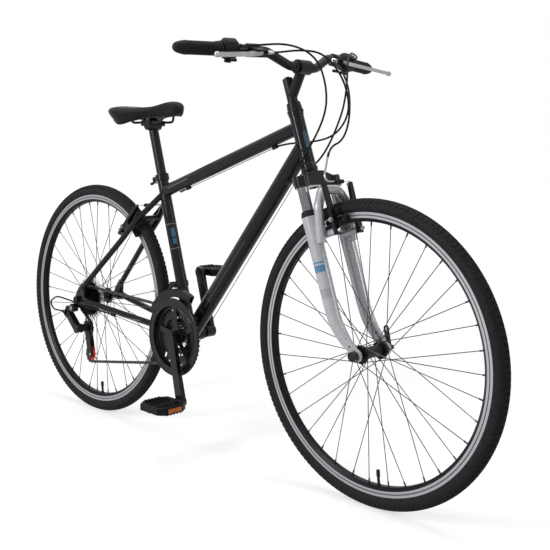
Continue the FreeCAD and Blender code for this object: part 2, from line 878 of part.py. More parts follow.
def make_bearing_cups():
    """Headset cups in the head tube and bearing cups in the bottom bracket shell."""
    bore = s.steerer_radius + s.running_fit
    lower = turned(
        [
            (bore, 0), (s.race_radius, 0), (s.cup_radius, s.lower_cup_height / 2),
            (s.cup_radius, s.lower_cup_height), (bore, s.lower_cup_height),
        ],
        on_steer(s.head_low - s.lower_cup_height), steer_up)
    upper = turned(
        [
            (bore, 0), (s.cup_radius, 0), (s.cup_radius, s.upper_cup_height / 2),
            (s.race_radius, s.upper_cup_height), (bore, s.upper_cup_height),
        ],
        on_steer(head_high), steer_up)
    cups = [lower, upper]
    half = s.shell_width / 2
    inner = s.spindle_radius + s.running_fit
    outer = s.shell_radius - s.shell_wall
    for side in BOTH_SIDES:
        cups.append(turned(
            [
                (inner, 0), (outer, 0), (outer, s.bracket_cup_depth), (s.shell_radius, s.bracket_cup_depth),
                (s.shell_radius, s.bracket_cup_depth + s.bracket_cup_flange),
                (inner, s.bracket_cup_depth + s.bracket_cup_flange),
            ],
            bracket_at + AXIS_Y * (side * (half - s.bracket_cup_depth)), AXIS_Y * side))
    node("bearing_cups", group(*cups))


race_low = head_high + s.upper_cup_height + s.clear_gap
locknut_top = race_low + s.race_height + s.locknut_height


def make_fork():
    """Sprung fork: crown and steerer, chromed uprights, and one casting of lower legs with the brake arch."""
    boss_top = s.head_low - s.lower_cup_height - s.clear_gap
    shoulder = s.crown_height * CROWN_SHOULDER_SHARE
    crown = padded(
        [
            (-s.leg_side, 0), (s.leg_side, 0), (s.leg_side, shoulder), (s.crown_boss_radius, s.crown_height),
            (-s.crown_boss_radius, s.crown_height), (-s.leg_side, shoulder),
        ],
        s.crown_depth, on_steer(s.crown_low, (s.leg_ahead - s.crown_depth) / 2), AXIS_Y, steer_up)
    pieces = [crown, rod(on_steer(s.crown_low), on_steer(boss_top), s.crown_boss_radius)]
    pieces.append(rod(on_steer(s.crown_low), on_steer(locknut_top), s.steerer_radius))
    bores = [
        rod(
            on_steer(s.crown_low - s.overrun), on_steer(locknut_top + s.overrun),
            s.quill_radius + s.running_fit,
        ),
    ]
    uprights = []
    socket_low = s.crown_low - s.socket_drop
    for side in BOTH_SIDES:
        def leg(up):
            return on_steer(up, s.leg_ahead, side * s.leg_side)
        pieces.append(rod(leg(socket_low), leg(s.crown_low + shoulder), s.socket_radius))
        upright_top = s.crown_low + shoulder - s.overrun
        bores.append(rod(leg(socket_low - s.overrun), leg(upright_top), s.stanchion_radius))
        uprights.append(tube(leg(s.stanchion_low), leg(upright_top), s.stanchion_radius, s.stanchion_wall))
    node("fork_crown", cut(fuse(*pieces), *bores))
    node("fork_stanchions", group(*uprights))
    race = ring(s.steerer_radius, s.race_radius, on_steer(race_low), on_steer(race_low + s.race_height))
    nut = ring(s.steerer_radius, s.locknut_radius, on_steer(race_low + s.race_height), on_steer(locknut_top))
    node("headset_nuts", group(race, nut))


def leg_section(side, shares):
    """An oval across a lower leg at one height."""
    height, drift, deep, thick = shares
    tip_side = (s.front_spacing + s.fork_tip_thickness) / 2
    ahead = s.leg_ahead + (s.fork_offset - s.leg_ahead) * drift
    out = s.leg_side + (tip_side - s.leg_side) * drift
    middle = on_steer(s.leg_knee * height, ahead, side * out)
    front = middle + steer_ahead * (s.leg_knee_radius * deep)
    flank = middle + AXIS_Y * (s.leg_knee_radius * thick)
    return Part.Wire(Part.Ellipse(front, flank, middle).toShape())


def make_fork_lowers():
    pieces = []
    bores = []
    arch = []
    for side in BOTH_SIDES:
        def leg(up):
            return on_steer(up, s.leg_ahead, side * s.leg_side)
        pieces.append(taper(leg(s.leg_knee), leg(s.leg_top), s.leg_knee_radius, s.leg_top_radius))
        pieces.append(
            formed(Part.makeLoft([leg_section(side, shares) for shares in LEG_SHARES], True, False))
        )
        inner = front_axle_at + AXIS_Y * (side * s.front_spacing / 2)
        outer = inner + AXIS_Y * (side * s.fork_tip_thickness)
        pieces.append(rod(inner, outer, s.fork_tip_radius))
        seat, up, out = front_brake_seat(side)
        pieces.append(rod(seat - out * (s.boss_ahead - s.leg_ahead), seat, s.boss_collar_radius))
        pieces.append(rod(seat - out * s.overrun, seat + out * s.boss_length, s.boss_radius))
        bores.append(rod(leg(s.leg_bore_low), leg(s.leg_top + s.overrun), s.stanchion_radius + s.running_fit))
        through = AXIS_Y * (s.fork_tip_thickness * 2)
        bores.append(rod(inner - through, inner + through, s.axle_radius + s.running_fit))
        spot_face = AXIS_Y * (side * s.skewer_cap_width)
        bores.append(rod(outer, outer + spot_face, s.skewer_cap_radius + s.clear_gap))
        bores.append(rod(inner - spot_face, inner, s.locknut_end_radius + s.clear_gap))
        bores.append(block(
            inner - steer_up * s.fork_tip_radius, steer_ahead, steer_up,
            (s.axle_radius + s.running_fit) * 2, s.fork_tip_radius * 2, s.fork_tip_thickness * 3,
        ))
        for up_share, ahead_share in FORK_HOLE_SHARES:
            spot = inner + steer_up * (s.leg_knee * up_share)
            spot += steer_ahead * (s.leg_knee_radius * ahead_share)
            bores.append(rod(spot - through, spot + through, s.eyelet_radius))
        arch.append([
            on_steer(s.arch_low, s.arch_root_ahead, side * s.leg_side),
            on_steer(s.arch_shoulder, s.arch_ahead, side * s.arch_shoulder_side),
            on_steer(s.arch_top, s.arch_ahead, side * s.arch_top_side),
        ])
    pieces.append(bent(arch[0] + arch[1][::-1], s.arch_radius, s.arch_bend_radius))
    node("fork_lowers", cut(fuse(*pieces), *bores))


bar_middle = on_steer(s.stem_clamp_up, s.stem_clamp_ahead)


def make_stem_and_bar():
    half_clamp = AXIS_Y * (s.stem_clamp_width / 2)
    half_bulge = AXIS_Y * (s.bar_bulge_width / 2)
    bulge = rod(bar_middle - half_bulge, bar_middle + half_bulge, s.bar_bulge_radius)
    post = rod(on_steer(locknut_top), on_steer(s.stem_top), s.stem_post_radius)
    quill = rod(on_steer(s.quill_low), on_steer(s.stem_top), s.quill_radius)
    neck = taper(on_steer(s.stem_root), bar_middle, s.stem_post_radius, s.stem_neck_radius)
    clamp = rod(bar_middle - half_clamp, bar_middle + half_clamp, s.stem_clamp_radius)
    bolt = rod(on_steer(s.stem_top), on_steer(s.stem_top + s.overrun), s.stem_bolt_radius * 2)
    node("stem", cut(fuse(post, quill, neck, clamp, bolt), bulge))
    ends = [[bar_spot(side, name) for name in ("end", "rise", "flat")] for side in BOTH_SIDES]
    line = ends[0] + ends[1][::-1]
    bar = fuse(bent(line, s.bar_radius, s.bar_bend_radius), bulge)
    node("handlebar", cut(bar, bent(line, s.bar_radius - s.bar_wall, s.bar_bend_radius)))


def bar_spot(side, name):
    back, out, rise = {
        "end": (s.bar_end_back, s.bar_half_width, s.bar_end_rise),
        "rise": (s.bar_rise_back, s.bar_rise_side, s.bar_rise),
        "flat": (0, s.bar_flat_side, 0),
    }[name]
    return bar_middle + Vector(-back, side * out, rise)


def bar_frame(side):
    """Directions at one hand: out along the bar, ahead to the lever, and up from the lever's plane."""
    out = (bar_spot(side, "end") - bar_spot(side, "rise")).normalize()
    level = (AXIS_X - out * out.x).normalize()
    rise = out.cross(level) * -side
    tilt = math.radians(s.lever_tilt)
    ahead = level * math.cos(tilt) - rise * math.sin(tilt)
    above = rise * math.cos(tilt) + level * math.sin(tilt)
    return out, ahead, above


def on_bar(side, inward, ahead=0, above=0):
    out, forward, upward = bar_frame(side)
    return bar_spot(side, "end") - out * inward + forward * ahead + upward * above


pod_in = s.grip_length + s.pod_width / 2 + s.overrun / 2
barrel_reach = s.lever_pivot_reach * BARREL_REACH_SHARE
pod_below = s.pod_radius + s.pod_drop


def barrel_end(side):
    """Where a brake cable leaves its lever bracket."""
    return on_bar(side, s.lever_pivot_in + s.bracket_width / 2 + s.barrel_length, barrel_reach)


def shift_root(side):
    return on_bar(side, pod_in, 0, s.exit_above * POD_EXIT_SHARE)


def shift_end(side):
    """Where a gear cable leaves its shifter."""
    return on_bar(side, pod_in + s.exit_in, s.exit_ahead, s.exit_above)


def make_controls():
    """Grips, shifter pods and brake lever brackets, with the levers that turn on them."""
    grips = []
    brackets = []
    for side, hand in zip(BOTH_SIDES, ("left", "right")):
        out, ahead, above = bar_frame(side)
        whole = s.grip_length + s.grip_cap
        grips.append(turned(
            [
                (0, 0), (s.grip_tip_radius, 0), (s.bar_radius + s.bar_wall, s.grip_cap),
                (s.grip_radius, s.grip_taper), (s.grip_radius, whole - s.grip_flange_width),
                (s.grip_flange_radius, whole - s.grip_flange_width), (s.grip_flange_radius, whole),
                (s.bar_radius, whole), (s.bar_radius, s.grip_cap), (0, s.grip_cap),
            ],
            on_bar(side, -s.grip_cap), -out))
        bar_core = rod(
            on_bar(side, s.grip_length), on_bar(side, s.lever_pivot_in + s.bracket_width), s.bar_radius,
        )
        edge = s.pod_radius * POD_EDGE_SHARE
        pod = turned(
            [
                (0, 0), (edge, 0), (s.pod_radius, s.pod_width * POD_CHAMFER_SHARE),
                (s.pod_radius, s.pod_width - s.pod_width * POD_CHAMFER_SHARE),
                (edge, s.pod_width), (0, s.pod_width),
            ],
            on_bar(side, pod_in - s.pod_width / 2, 0, -s.pod_drop), -out)
        nose = rod(shift_root(side), shift_end(side), s.barrel_radius)
        stud_low = pod_below + s.shift_lever_pad
        stud = rod(
            on_bar(side, pod_in, 0, -s.bar_radius), on_bar(side, pod_in, 0, -stud_low),
            s.changer_pin_radius,
        )
        brackets.append(cut(fuse(pod, nose, stud), bar_core))
        make_shift_lever(side, hand, out, ahead, above)
        half = out * (s.bracket_width / 2)
        seat = on_bar(side, s.lever_pivot_in)
        pivot = on_bar(side, s.lever_pivot_in, s.lever_pivot_reach)
        slot_height = s.lever_thickness + s.clear_gap * 2
        height = slot_height + s.lever_ear * 2
        length = s.lever_pivot_reach + s.lever_width
        arm = block(seat + ahead * (length / 2), out, ahead, s.bracket_width, length, height)
        slot = block(
            pivot + ahead * (s.lever_width / 2), out, ahead, s.bracket_width * 2, s.lever_width * 3,
            slot_height,
        )
        pin = rod(pivot - above * (height / 2), pivot + above * (height / 2), s.lever_pin_radius)
        clamp = rod(seat - half, seat + half, s.bracket_radius)
        barrel = rod(on_bar(side, s.lever_pivot_in, barrel_reach), barrel_end(side), s.barrel_radius)
        brackets.append(cut(fuse(cut(fuse(arm, clamp, barrel), slot), pin), bar_core))
        make_brake_lever(side, hand, out, ahead, pivot)
    node("grips", group(*grips))
    node("control_brackets", group(*brackets))


def make_shift_lever(side, hand, out, ahead, above):
    high = on_bar(side, pod_in, 0, -pod_below - s.clear_gap)
    low = on_bar(side, pod_in, 0, -pod_below - s.shift_lever_pad + s.clear_gap)
    disc = rod(high, low, s.shift_lever_pad)
    middle = (high + low) / 2
    reach = (ahead * SHIFT_LEVER_SHARES[0] + out * SHIFT_LEVER_SHARES[1]).normalize()
    thumb = middle + reach * s.shift_lever_length
    paddle = taper(middle, thumb, s.shift_lever_radius / 2, s.shift_lever_radius)
    tools = above * s.shift_lever_pad
    hole = rod(middle - tools, middle + tools, s.changer_pin_radius + s.running_fit)
    node(f"shift_lever_{hand}", cut(fuse(disc, paddle), hole))


def make_brake_lever(side, hand, out, ahead, pivot):
    stations = (
        (s.lever_width * 0, s.lever_width * 0),
        (s.lever_pivot_in - s.lever_knee_in, s.lever_knee_reach - s.lever_pivot_reach),
        (s.lever_pivot_in - s.lever_tip_in, s.lever_tip_reach - s.lever_pivot_reach),
    )
    corners = []
    for station, along, across in LEVER_SHARES:
        spot = stations[station]
        corners.append((spot[0] + s.lever_width * along, spot[1] + s.lever_width * across))
    flat = out.cross(ahead)
    blade = padded(corners, s.lever_thickness, pivot - flat * (s.lever_thickness / 2), out, ahead)
    hole = rod(pivot - flat * s.lever_width, pivot + flat * s.lever_width, s.lever_pin_radius + s.running_fit)
    node(f"brake_lever_{hand}", cut(blade, hole))


def polar(middle, radius, angle, side=0):
    """A point round a wheel or sprocket, seen from the drive side."""
    return middle + Vector(radius * math.cos(angle), side, radius * math.sin(angle))


def make_wheel(name, middle, flanges, flange_radius, hub_corners):
    """Tyre, rim, crossed spokes with nipples, and hub shell."""
    across = AXIS_Y * (s.tyre_section * 2)
    outer = new("Part::Torus", "outer")
    bind(outer, Radius1=s.tyre_radius - s.tyre_section, Radius2=s.tyre_section)
    inner = new("Part::Torus", "inner")
    bind(inner, Radius1=s.tyre_radius - s.tyre_section, Radius2=s.tyre_section - s.tyre_wall)
    for piece in (outer, inner):
        piece.Placement = aim(middle, AXIS_Y)
    node(f"{name}_tyre", cut(outer, inner, rod(middle - across, middle + across, s.rim_radius)))
    wide = s.rim_half_width
    wall = s.rim_half_width - s.rim_wall
    floor = s.rim_radius - s.rim_depth + s.rim_floor
    crown = s.rim_radius - s.rim_depth
    half = [
        (floor, wall), (s.rim_radius, wall), (s.rim_radius, wide), (floor, wide), (crown, s.rim_crown_half),
    ]
    corners = half + [(radius, -side) for radius, side in reversed(half)]
    node(f"{name}_rim", turned(corners, middle, AXIS_Y))
    spokes = []
    step = 2 * math.pi / s.spoke_count
    for index in range(int(s.spoke_count)):
        flange = flanges[index % 2]
        lean = 1 if (index // 2) % 2 else -1
        angle = index * step
        hub_angle = angle + lean * s.spoke_crossing * 2 * step
        face = flange + lean * (s.flange_thickness / 2 + s.spoke_radius * SPOKE_SEAT_SHARE)
        start = polar(middle, flange_radius - s.spoke_seat, hub_angle, face)
        end = polar(middle, crown + s.spoke_radius, angle, s.spoke_seat * (1 if flange > 0 else -1))
        along = (end - start).normalize()
        wire = Part.makeCylinder(s.spoke_radius, (end - start).Length, start, along)
        nipple = Part.makeCylinder(s.nipple_radius, s.nipple_length, end - along * s.nipple_length, along)
        spokes.append(wire.fuse(nipple))
    node(f"{name}_spokes", formed(Part.makeCompound(spokes)))
    node(f"{name}_hub", turned(hub_corners, middle, AXIS_Y))


def hub_outline(left, right, flange_radius, body_radius, left_end, right_part):
    """Half section of a hub: bore, left neck, both flanges and body, then the part on the right."""
    bore = s.axle_radius + s.running_fit
    half = s.flange_thickness / 2
    return [
        (bore, left_end), (s.hub_neck_radius, left_end), (s.hub_neck_radius, left + half),
        (flange_radius, left + half),
        (flange_radius, left - half), (body_radius, left - half), (body_radius, right + half),
        (flange_radius, right + half), (flange_radius, right - half),
    ] + right_part + [(bore, right_part[-1][1])]


def make_wheels():
    end = s.front_spacing / 2 - s.lock_spacer - s.clear_gap
    side = s.front_flange_side
    neck = [(s.hub_neck_radius, -side - s.flange_thickness / 2), (s.hub_neck_radius, -end)]
    corners = hub_outline(side, -side, s.front_flange_radius, s.front_hub_radius, end, neck)
    make_wheel("front", front_axle_at, (side, -side), s.front_flange_radius, corners)
    end = s.rear_spacing / 2 - s.lock_spacer - s.clear_gap
    left = s.rear_left_flange_side
    right = -s.rear_right_flange_side
    seat_start = right - s.flange_thickness / 2
    seat_end = seat_start - s.freewheel_seat_length
    seat = [
        (s.freewheel_seat_radius, seat_start), (s.freewheel_seat_radius, seat_end),
        (s.hub_neck_radius, seat_end), (s.hub_neck_radius, -end),
    ]
    corners = hub_outline(left, right, s.rear_flange_radius, s.rear_hub_radius, end, seat)
    make_wheel("rear", rear_axle_at, (left, right), s.rear_flange_radius, corners)


def make_axles():
    """Axles with lock spacers and end nuts, and the front quick-release lever on its cam housing."""
    rear = [rod(*across(rear_axle_at, s.rear_spacing / 2 + s.dropout_thickness + s.nut_width), s.axle_radius)]
    front_end = s.front_spacing / 2 + s.fork_tip_thickness
    front = [rod(*across(front_axle_at, front_end + s.overrun), s.axle_radius)]
    for side in BOTH_SIDES:
        for pieces, axle, face in (
            (rear, rear_axle_at, s.rear_spacing / 2), (front, front_axle_at, s.front_spacing / 2),
        ):
            start = axle + AXIS_Y * (side * (face - s.lock_spacer))
            pieces.append(rod(start, axle + AXIS_Y * (side * face), s.locknut_end_radius))
        face = rear_axle_at + AXIS_Y * (side * (s.rear_spacing / 2 + s.dropout_thickness))
        rear.append(rod(face, face + AXIS_Y * (side * s.nut_width), s.nut_radius))
    node("rear_axle", fuse(*rear))
    right = front_axle_at - AXIS_Y * front_end
    front.append(rod(right, right - AXIS_Y * s.skewer_cap_width, s.skewer_cap_radius))
    left = front_axle_at + AXIS_Y * front_end
    cap_end = left + AXIS_Y * (s.skewer_cap_width / 2)
    front.append(rod(left, cap_end, s.skewer_cap_radius))
    pivot = cap_end + AXIS_Y * (s.skewer_lever_radius + s.clear_gap * 2)
    node("front_axle", fuse(*front, *cam_ears(pivot, steer_ahead, s.skewer_lever_radius)))
    lean = math.radians(s.skewer_lever_lean)
    reach = steer_up * math.cos(lean) + AXIS_Y * math.sin(lean)
    lever = cam_lever(pivot, steer_ahead, reach, s.skewer_lever_radius, s.skewer_lever_length)
    node("front_skewer_lever", lever)


def across(middle, half):
    """Two points either side of a middle, across the bicycle."""
    return middle - AXIS_Y * half, middle + AXIS_Y * half


def pitch_radius(teeth):
    return float(s.chain_pitch) / (2 * math.sin(math.pi / teeth))


def sprocket(teeth, width, middle, bore, phase=0.0):
    """A toothed disc with a round seat for each roller, centred on its middle plane."""
    teeth = int(teeth)
    radius = pitch_radius(teeth)
    seat = float(s.roller_radius + s.tooth_clearance)
    tip_radius = radius + s.tooth_height
    half_tip = s.tooth_tip / 2 / tip_radius
    half_gap = math.radians(s.gap_turn)
    step = 2 * math.pi / teeth
    middle = middle - AXIS_Y * (width / 2)
    edges = []
    first = polar(middle, tip_radius, phase - step / 2 + half_tip)
    last = first
    for index in range(teeth):
        angle = phase + index * step
        roller = polar(middle, radius, angle)
        foot = [polar(roller, seat, angle + math.pi + turn) for turn in (half_gap, 0, -half_gap)]
        edges.append(Part.LineSegment(last, foot[0]).toShape())
        edges.append(Part.Arc(*foot).toShape())
        tip = polar(middle, tip_radius, angle + step / 2 - half_tip)
        edges.append(Part.LineSegment(foot[2], tip).toShape())
        last = first if index == teeth - 1 else polar(middle, tip_radius, angle + step / 2 + half_tip)
        edges.append(Part.LineSegment(tip, last).toShape())
    disc = Part.Face(Part.Wire(edges)).extrude(AXIS_Y * width)
    return disc.cut(Part.makeCylinder(bore, width + s.overrun * 2, middle - AXIS_Y * s.overrun, AXIS_Y))


ring_middle = bracket_at - AXIS_Y * s.chain_line
cog_middle = rear_axle_at - AXIS_Y * s.chain_line
guide_middle = cog_middle + AXIS_X * s.guide_ahead - AXIS_Z * s.guide_drop
chain_cog = COG_TEETH[len(COG_TEETH) // 2]


def tension_middle(angle):
    return guide_middle + Vector(math.sin(angle), 0, -math.cos(angle)) * s.cage_length


def chain_runs(angle):
    """The chain's straight runs and wraps, in the order that it moves, each with its length in links."""
    wheels = [
        (ring_middle, s.middle_ring_teeth, -1), (tension_middle(angle), s.pulley_teeth, -1),
        (guide_middle, s.pulley_teeth, 1), (cog_middle, chain_cog, -1),
    ]
    lines = []
    following = wheels[1:] + wheels[:1]
    for (start, first_teeth, first_turn), (end, second_teeth, second_turn) in zip(wheels, following):
        apart = end - start
        first = first_turn * pitch_radius(first_teeth)
        second = second_turn * pitch_radius(second_teeth)
        length = math.sqrt(apart.Length**2 - (second - first)**2)
        heading = math.atan2(apart.z, apart.x) - math.atan2(second - first, length)
        normal = Vector(-math.sin(heading), 0, math.cos(heading))
        lines.append((start - normal * first, end - normal * second, heading, length / s.chain_pitch))
    runs = []
    for index, (middle, teeth, turn) in enumerate(wheels):
        arrive = lines[index - 1][2]
        leave = lines[index][2]
        swing = (turn * (leave - arrive)) % (2 * math.pi)
        runs.append(
            (middle, pitch_radius(teeth), arrive - turn * math.pi / 2, turn, swing * teeth / (2 * math.pi)),
        )
        runs.append(lines[index])
    return runs


def chain_count(angle):
    return sum(float(run[-1]) for run in chain_runs(angle))


def settled_cage():
    """The cage angle at which the chain holds a whole, even count of links."""
    nominal = math.radians(s.cage_angle)
    links = 2 * round(chain_count(nominal) / 2)
    low = nominal - math.radians(s.cage_swing)
    high = nominal + math.radians(s.cage_swing)
    rising = chain_count(high) > chain_count(low)
    for turn in range(int(s.settle_turns)):
        middle = (low + high) / 2
        if (chain_count(middle) < links) == rising:
            low = middle
        else:
            high = middle
    return middle, links


def chain_spots(angle, links):
    """The centre of every roller, one pitch apart along the chain."""
    spots = []
    runs = chain_runs(angle)
    for index in range(links):
        left = float(index)
        for run in runs:
            if left <= run[-1] or run is runs[-1]:
                break
            left -= float(run[-1])
        if len(run) == 5:
            middle, radius, start, turn, length = run
            spots.append(
                polar(middle, radius, start + turn * 2 * math.asin(s.chain_pitch / 2 / radius) * left),
            )
        else:
            start, end, heading, length = run
            spots.append(start + (end - start) * (left / length))
    return spots


def chain_link(outer):
    """One link at the origin, its pins or rollers a pitch apart along X."""
    inner_half = s.link_inner_width / 2
    face = inner_half + s.plate_thickness + s.plate_gap if outer else inner_half
    ends = (Vector(0, 0, 0), Vector(s.chain_pitch, 0, 0))
    waist = s.plate_radius * PLATE_WAIST_SHARE
    pieces = []
    for start in (face, -face - s.plate_thickness):
        corner = Vector(0, start, -waist)
        plate = Part.makeBox(s.chain_pitch, s.plate_thickness, waist * 2, corner)
        for end in ends:
            plate = plate.fuse(
                Part.makeCylinder(s.plate_radius, s.plate_thickness, end + AXIS_Y * start, AXIS_Y),
            )
        pieces.append(plate)
    half = face + s.plate_thickness
    for end in ends:
        radius = s.chain_pin_radius if outer else s.roller_radius
        pieces.append(Part.makeCylinder(radius, half * 2, end - AXIS_Y * half, AXIS_Y))
    link = pieces[0].multiFuse(pieces[1:])
    if outer:
        return link.removeSplitter()
    for end in ends:
        link = link.cut(
            Part.makeCylinder(s.chain_pin_radius + s.plate_gap, half * 4, end - AXIS_Y * half * 2, AXIS_Y),
        )
    return link.removeSplitter()


def roller_phase(spots, middle):
    """The angle of the roller that sits nearest to a wheel's middle."""
    spot = min(spots, key=lambda point: (point - middle).Length)
    return math.atan2(spot.z - middle.z, spot.x - middle.x)


def make_chain():
    angle, links = settled_cage()
    spots = chain_spots(angle, links)
    kinds = [chain_link(False), chain_link(True)]
    loop = []
    for index, spot in enumerate(spots):
        along = spots[(index + 1) % links] - spot
        link = kinds[index % 2].copy()
        link.Placement = Placement(spot, Rotation(AXIS_Y, -math.degrees(math.atan2(along.z, along.x))))
        loop.append(link)
    node("chain", formed(Part.makeCompound(loop)))
    return angle, spots


def make_freewheel(spots):
    start = cog_middle + AXIS_Y * (s.cog_spacing * (len(COG_TEETH) // 2) + s.cog_spacing)
    end = cog_middle - AXIS_Y * (s.cog_spacing * (len(COG_TEETH) // 2) + s.tooth_width)
    pieces = [
        tube(start, end, s.cog_core_radius, s.cog_core_radius - s.freewheel_seat_radius - s.running_fit),
    ]
    for index, teeth in enumerate(COG_TEETH):
        middle = cog_middle + AXIS_Y * (s.cog_spacing * (len(COG_TEETH) // 2 - index))
        phase = roller_phase(spots, cog_middle) if teeth == chain_cog else 0.0
        pieces.append(formed(sprocket(teeth, s.tooth_width, middle, s.cog_core_radius, phase)))
    node("freewheel", group(*pieces))


def crank_reach(side):
    angle = math.radians(s.crank_angle)
    return Vector(math.sin(angle), 0, -math.cos(angle)) * -side


def crank_arm(side):
    """A tapered flat arm that leans out from the boss to the pedal."""
    reach = crank_reach(side)
    start = bracket_at + AXIS_Y * (side * (s.crank_boss_outer - s.crank_thickness / 2))
    end = bracket_at + reach * s.crank_length + AXIS_Y * (side * (s.crank_end_inner + s.crank_thickness / 2))
    along = (end - start).normalize()
    rise = reach.cross(AXIS_Y)
    edge = [(s.crank_length * share, s.crank_boss_radius * wide) for share, wide in CRANK_SHARES]
    corners = edge + [(share, -half) for share, half in reversed(edge)]
    return padded(
        corners, s.crank_thickness, start - along.cross(rise) * (s.crank_thickness / 2), along, rise,
    )


def make_crank(spots):
    """Spindle, both arms with their pedal axles, three chainrings on a spider, and the chain guard."""
    spindle = rod(*across(bracket_at, s.spindle_half_length), s.spindle_radius)
    ring_phase = roller_phase(spots, ring_middle)
    outer_middle = ring_middle - AXIS_Y * s.ring_spacing
    inner_middle = ring_middle + AXIS_Y * s.ring_spacing
    for side, hand in zip(BOTH_SIDES, ("left", "right")):
        out = AXIS_Y * side
        reach = crank_reach(side)
        pieces = [crank_arm(side)]
        boss_end = bracket_at + out * (s.crank_boss_outer + s.crank_proud)
        pieces.append(rod(bracket_at + out * s.crank_boss_inner, boss_end, s.crank_boss_radius))
        end = bracket_at + reach * s.crank_length
        end_inner = s.crank_end_inner - s.crank_proud
        end_outer = s.crank_end_inner + s.crank_thickness + s.crank_proud
        pieces.append(rod(end + out * end_inner, end + out * end_outer, s.crank_end_radius))
        if side < 0:
            chain_half = s.link_inner_width / 2 + s.plate_thickness * 2 + s.plate_gap
            face = ring_middle - AXIS_Y * (chain_half + s.clear_gap * 2)
            middle_face = ring_middle - AXIS_Y * (s.tooth_width / 2)
            inner_face = inner_middle - AXIS_Y * (s.tooth_width / 2)
            spider_end = outer_middle + AXIS_Y * (s.tooth_width / 2)
            pieces.append(rod(face, spider_end, s.spider_hub_radius))
            depth = (face - spider_end).Length
            for index in range(int(s.spider_arms)):
                turn = math.pi * 2 * index / s.spider_arms + math.radians(s.crank_angle)
                ray = Vector(math.cos(turn), 0, math.sin(turn))
                spot = (face + spider_end) / 2 + ray * (s.spider_reach / 2)
                pieces.append(block(spot, ray, AXIS_Y, s.spider_reach, depth, s.spider_arm_width))
                for post_face, post_reach in (
                    (middle_face, s.middle_post_reach), (inner_face, s.ring_post_reach),
                ):
                    pieces.append(
                        rod(spider_end + ray * post_reach, post_face + ray * post_reach, s.ring_post_radius),
                    )
        arm = fuse(*pieces)
        axle_hole = rod(end, end + out * (end_outer + s.overrun), s.pedal_axle_radius)
        spindle_end = bracket_at + out * s.spindle_half_length
        arm = cut(arm, axle_hole, rod(bracket_at, spindle_end, s.spindle_radius))
        axle = rod(
            end + out * end_inner,
            end + out * (end_outer + s.pedal_collar_width + s.pedal_width - s.overrun * 2),
            s.pedal_axle_radius,
        )
        collar = rod(
            end + out * end_outer, end + out * (end_outer + s.pedal_collar_width), s.pedal_collar_radius,
        )
        solids = [arm, fuse(axle, collar)]
        if side > 0:
            solids.append(spindle)
        node(f"crank_{hand}", group(*solids))
        make_pedal(hand, end + out * (end_outer + s.pedal_collar_width + s.clear_gap), out)
    rings = []
    for middle, teeth in (
        (inner_middle, s.inner_ring_teeth), (ring_middle, s.middle_ring_teeth),
        (outer_middle, s.outer_ring_teeth),
    ):
        bore = pitch_radius(teeth) - s.roller_radius - s.ring_band
        rings.append(formed(sprocket(teeth, s.tooth_width, middle, bore, ring_phase)))
    node("chainrings", group(*rings))
    start = bracket_at - AXIS_Y * s.guard_side
    end = start - AXIS_Y * s.guard_thickness
    guard = [tube(start, end, s.guard_radius, s.guard_radius - s.guard_inner_radius)]
    foot = outer_middle - AXIS_Y * (s.tooth_width / 2)
    for index in range(int(s.spider_arms)):
        turn = math.pi * 2 * index / s.spider_arms + math.radians(s.crank_angle)
        ray = Vector(math.cos(turn), 0, math.sin(turn)) * (s.guard_inner_radius + s.ring_post_radius)
        guard.append(rod(foot + ray, start + ray - AXIS_Y * (s.guard_thickness / 2), s.ring_post_radius))
    node("chain_guard", fuse(*guard))


def make_pedal(hand, inner, out):
    """A resin platform pedal: a barrel on the axle between two ribbed treads joined by end plates."""
    middle = inner + out * (s.pedal_width / 2)
    corners = [(s.pedal_length / 2 * along, s.pedal_width / 2 * wide) for along, wide in PEDAL_SHARES]
    whole = padded(corners, s.pedal_height, middle - AXIS_Z * (s.pedal_height / 2), AXIS_X, AXIS_Y)
    gap = s.pedal_length / 2 - s.pedal_bar
    windows = []
    for side in BOTH_SIDES:
        spot = middle + AXIS_X * (side * gap / 2)
        windows.append(
            block(spot, AXIS_X, AXIS_Y, gap, s.pedal_width - s.pedal_bar * 2, s.pedal_height + s.overrun),
        )
    barrel = rod(inner, inner + out * s.pedal_width, s.pedal_barrel_radius)
    pedal = fuse(cut(whole, *windows), barrel)
    hole = rod(
        inner - out * s.overrun, inner + out * (s.pedal_width - s.overrun),
        s.pedal_axle_radius + s.running_fit,
    )
    node(f"pedal_{hand}", cut(pedal, hole))


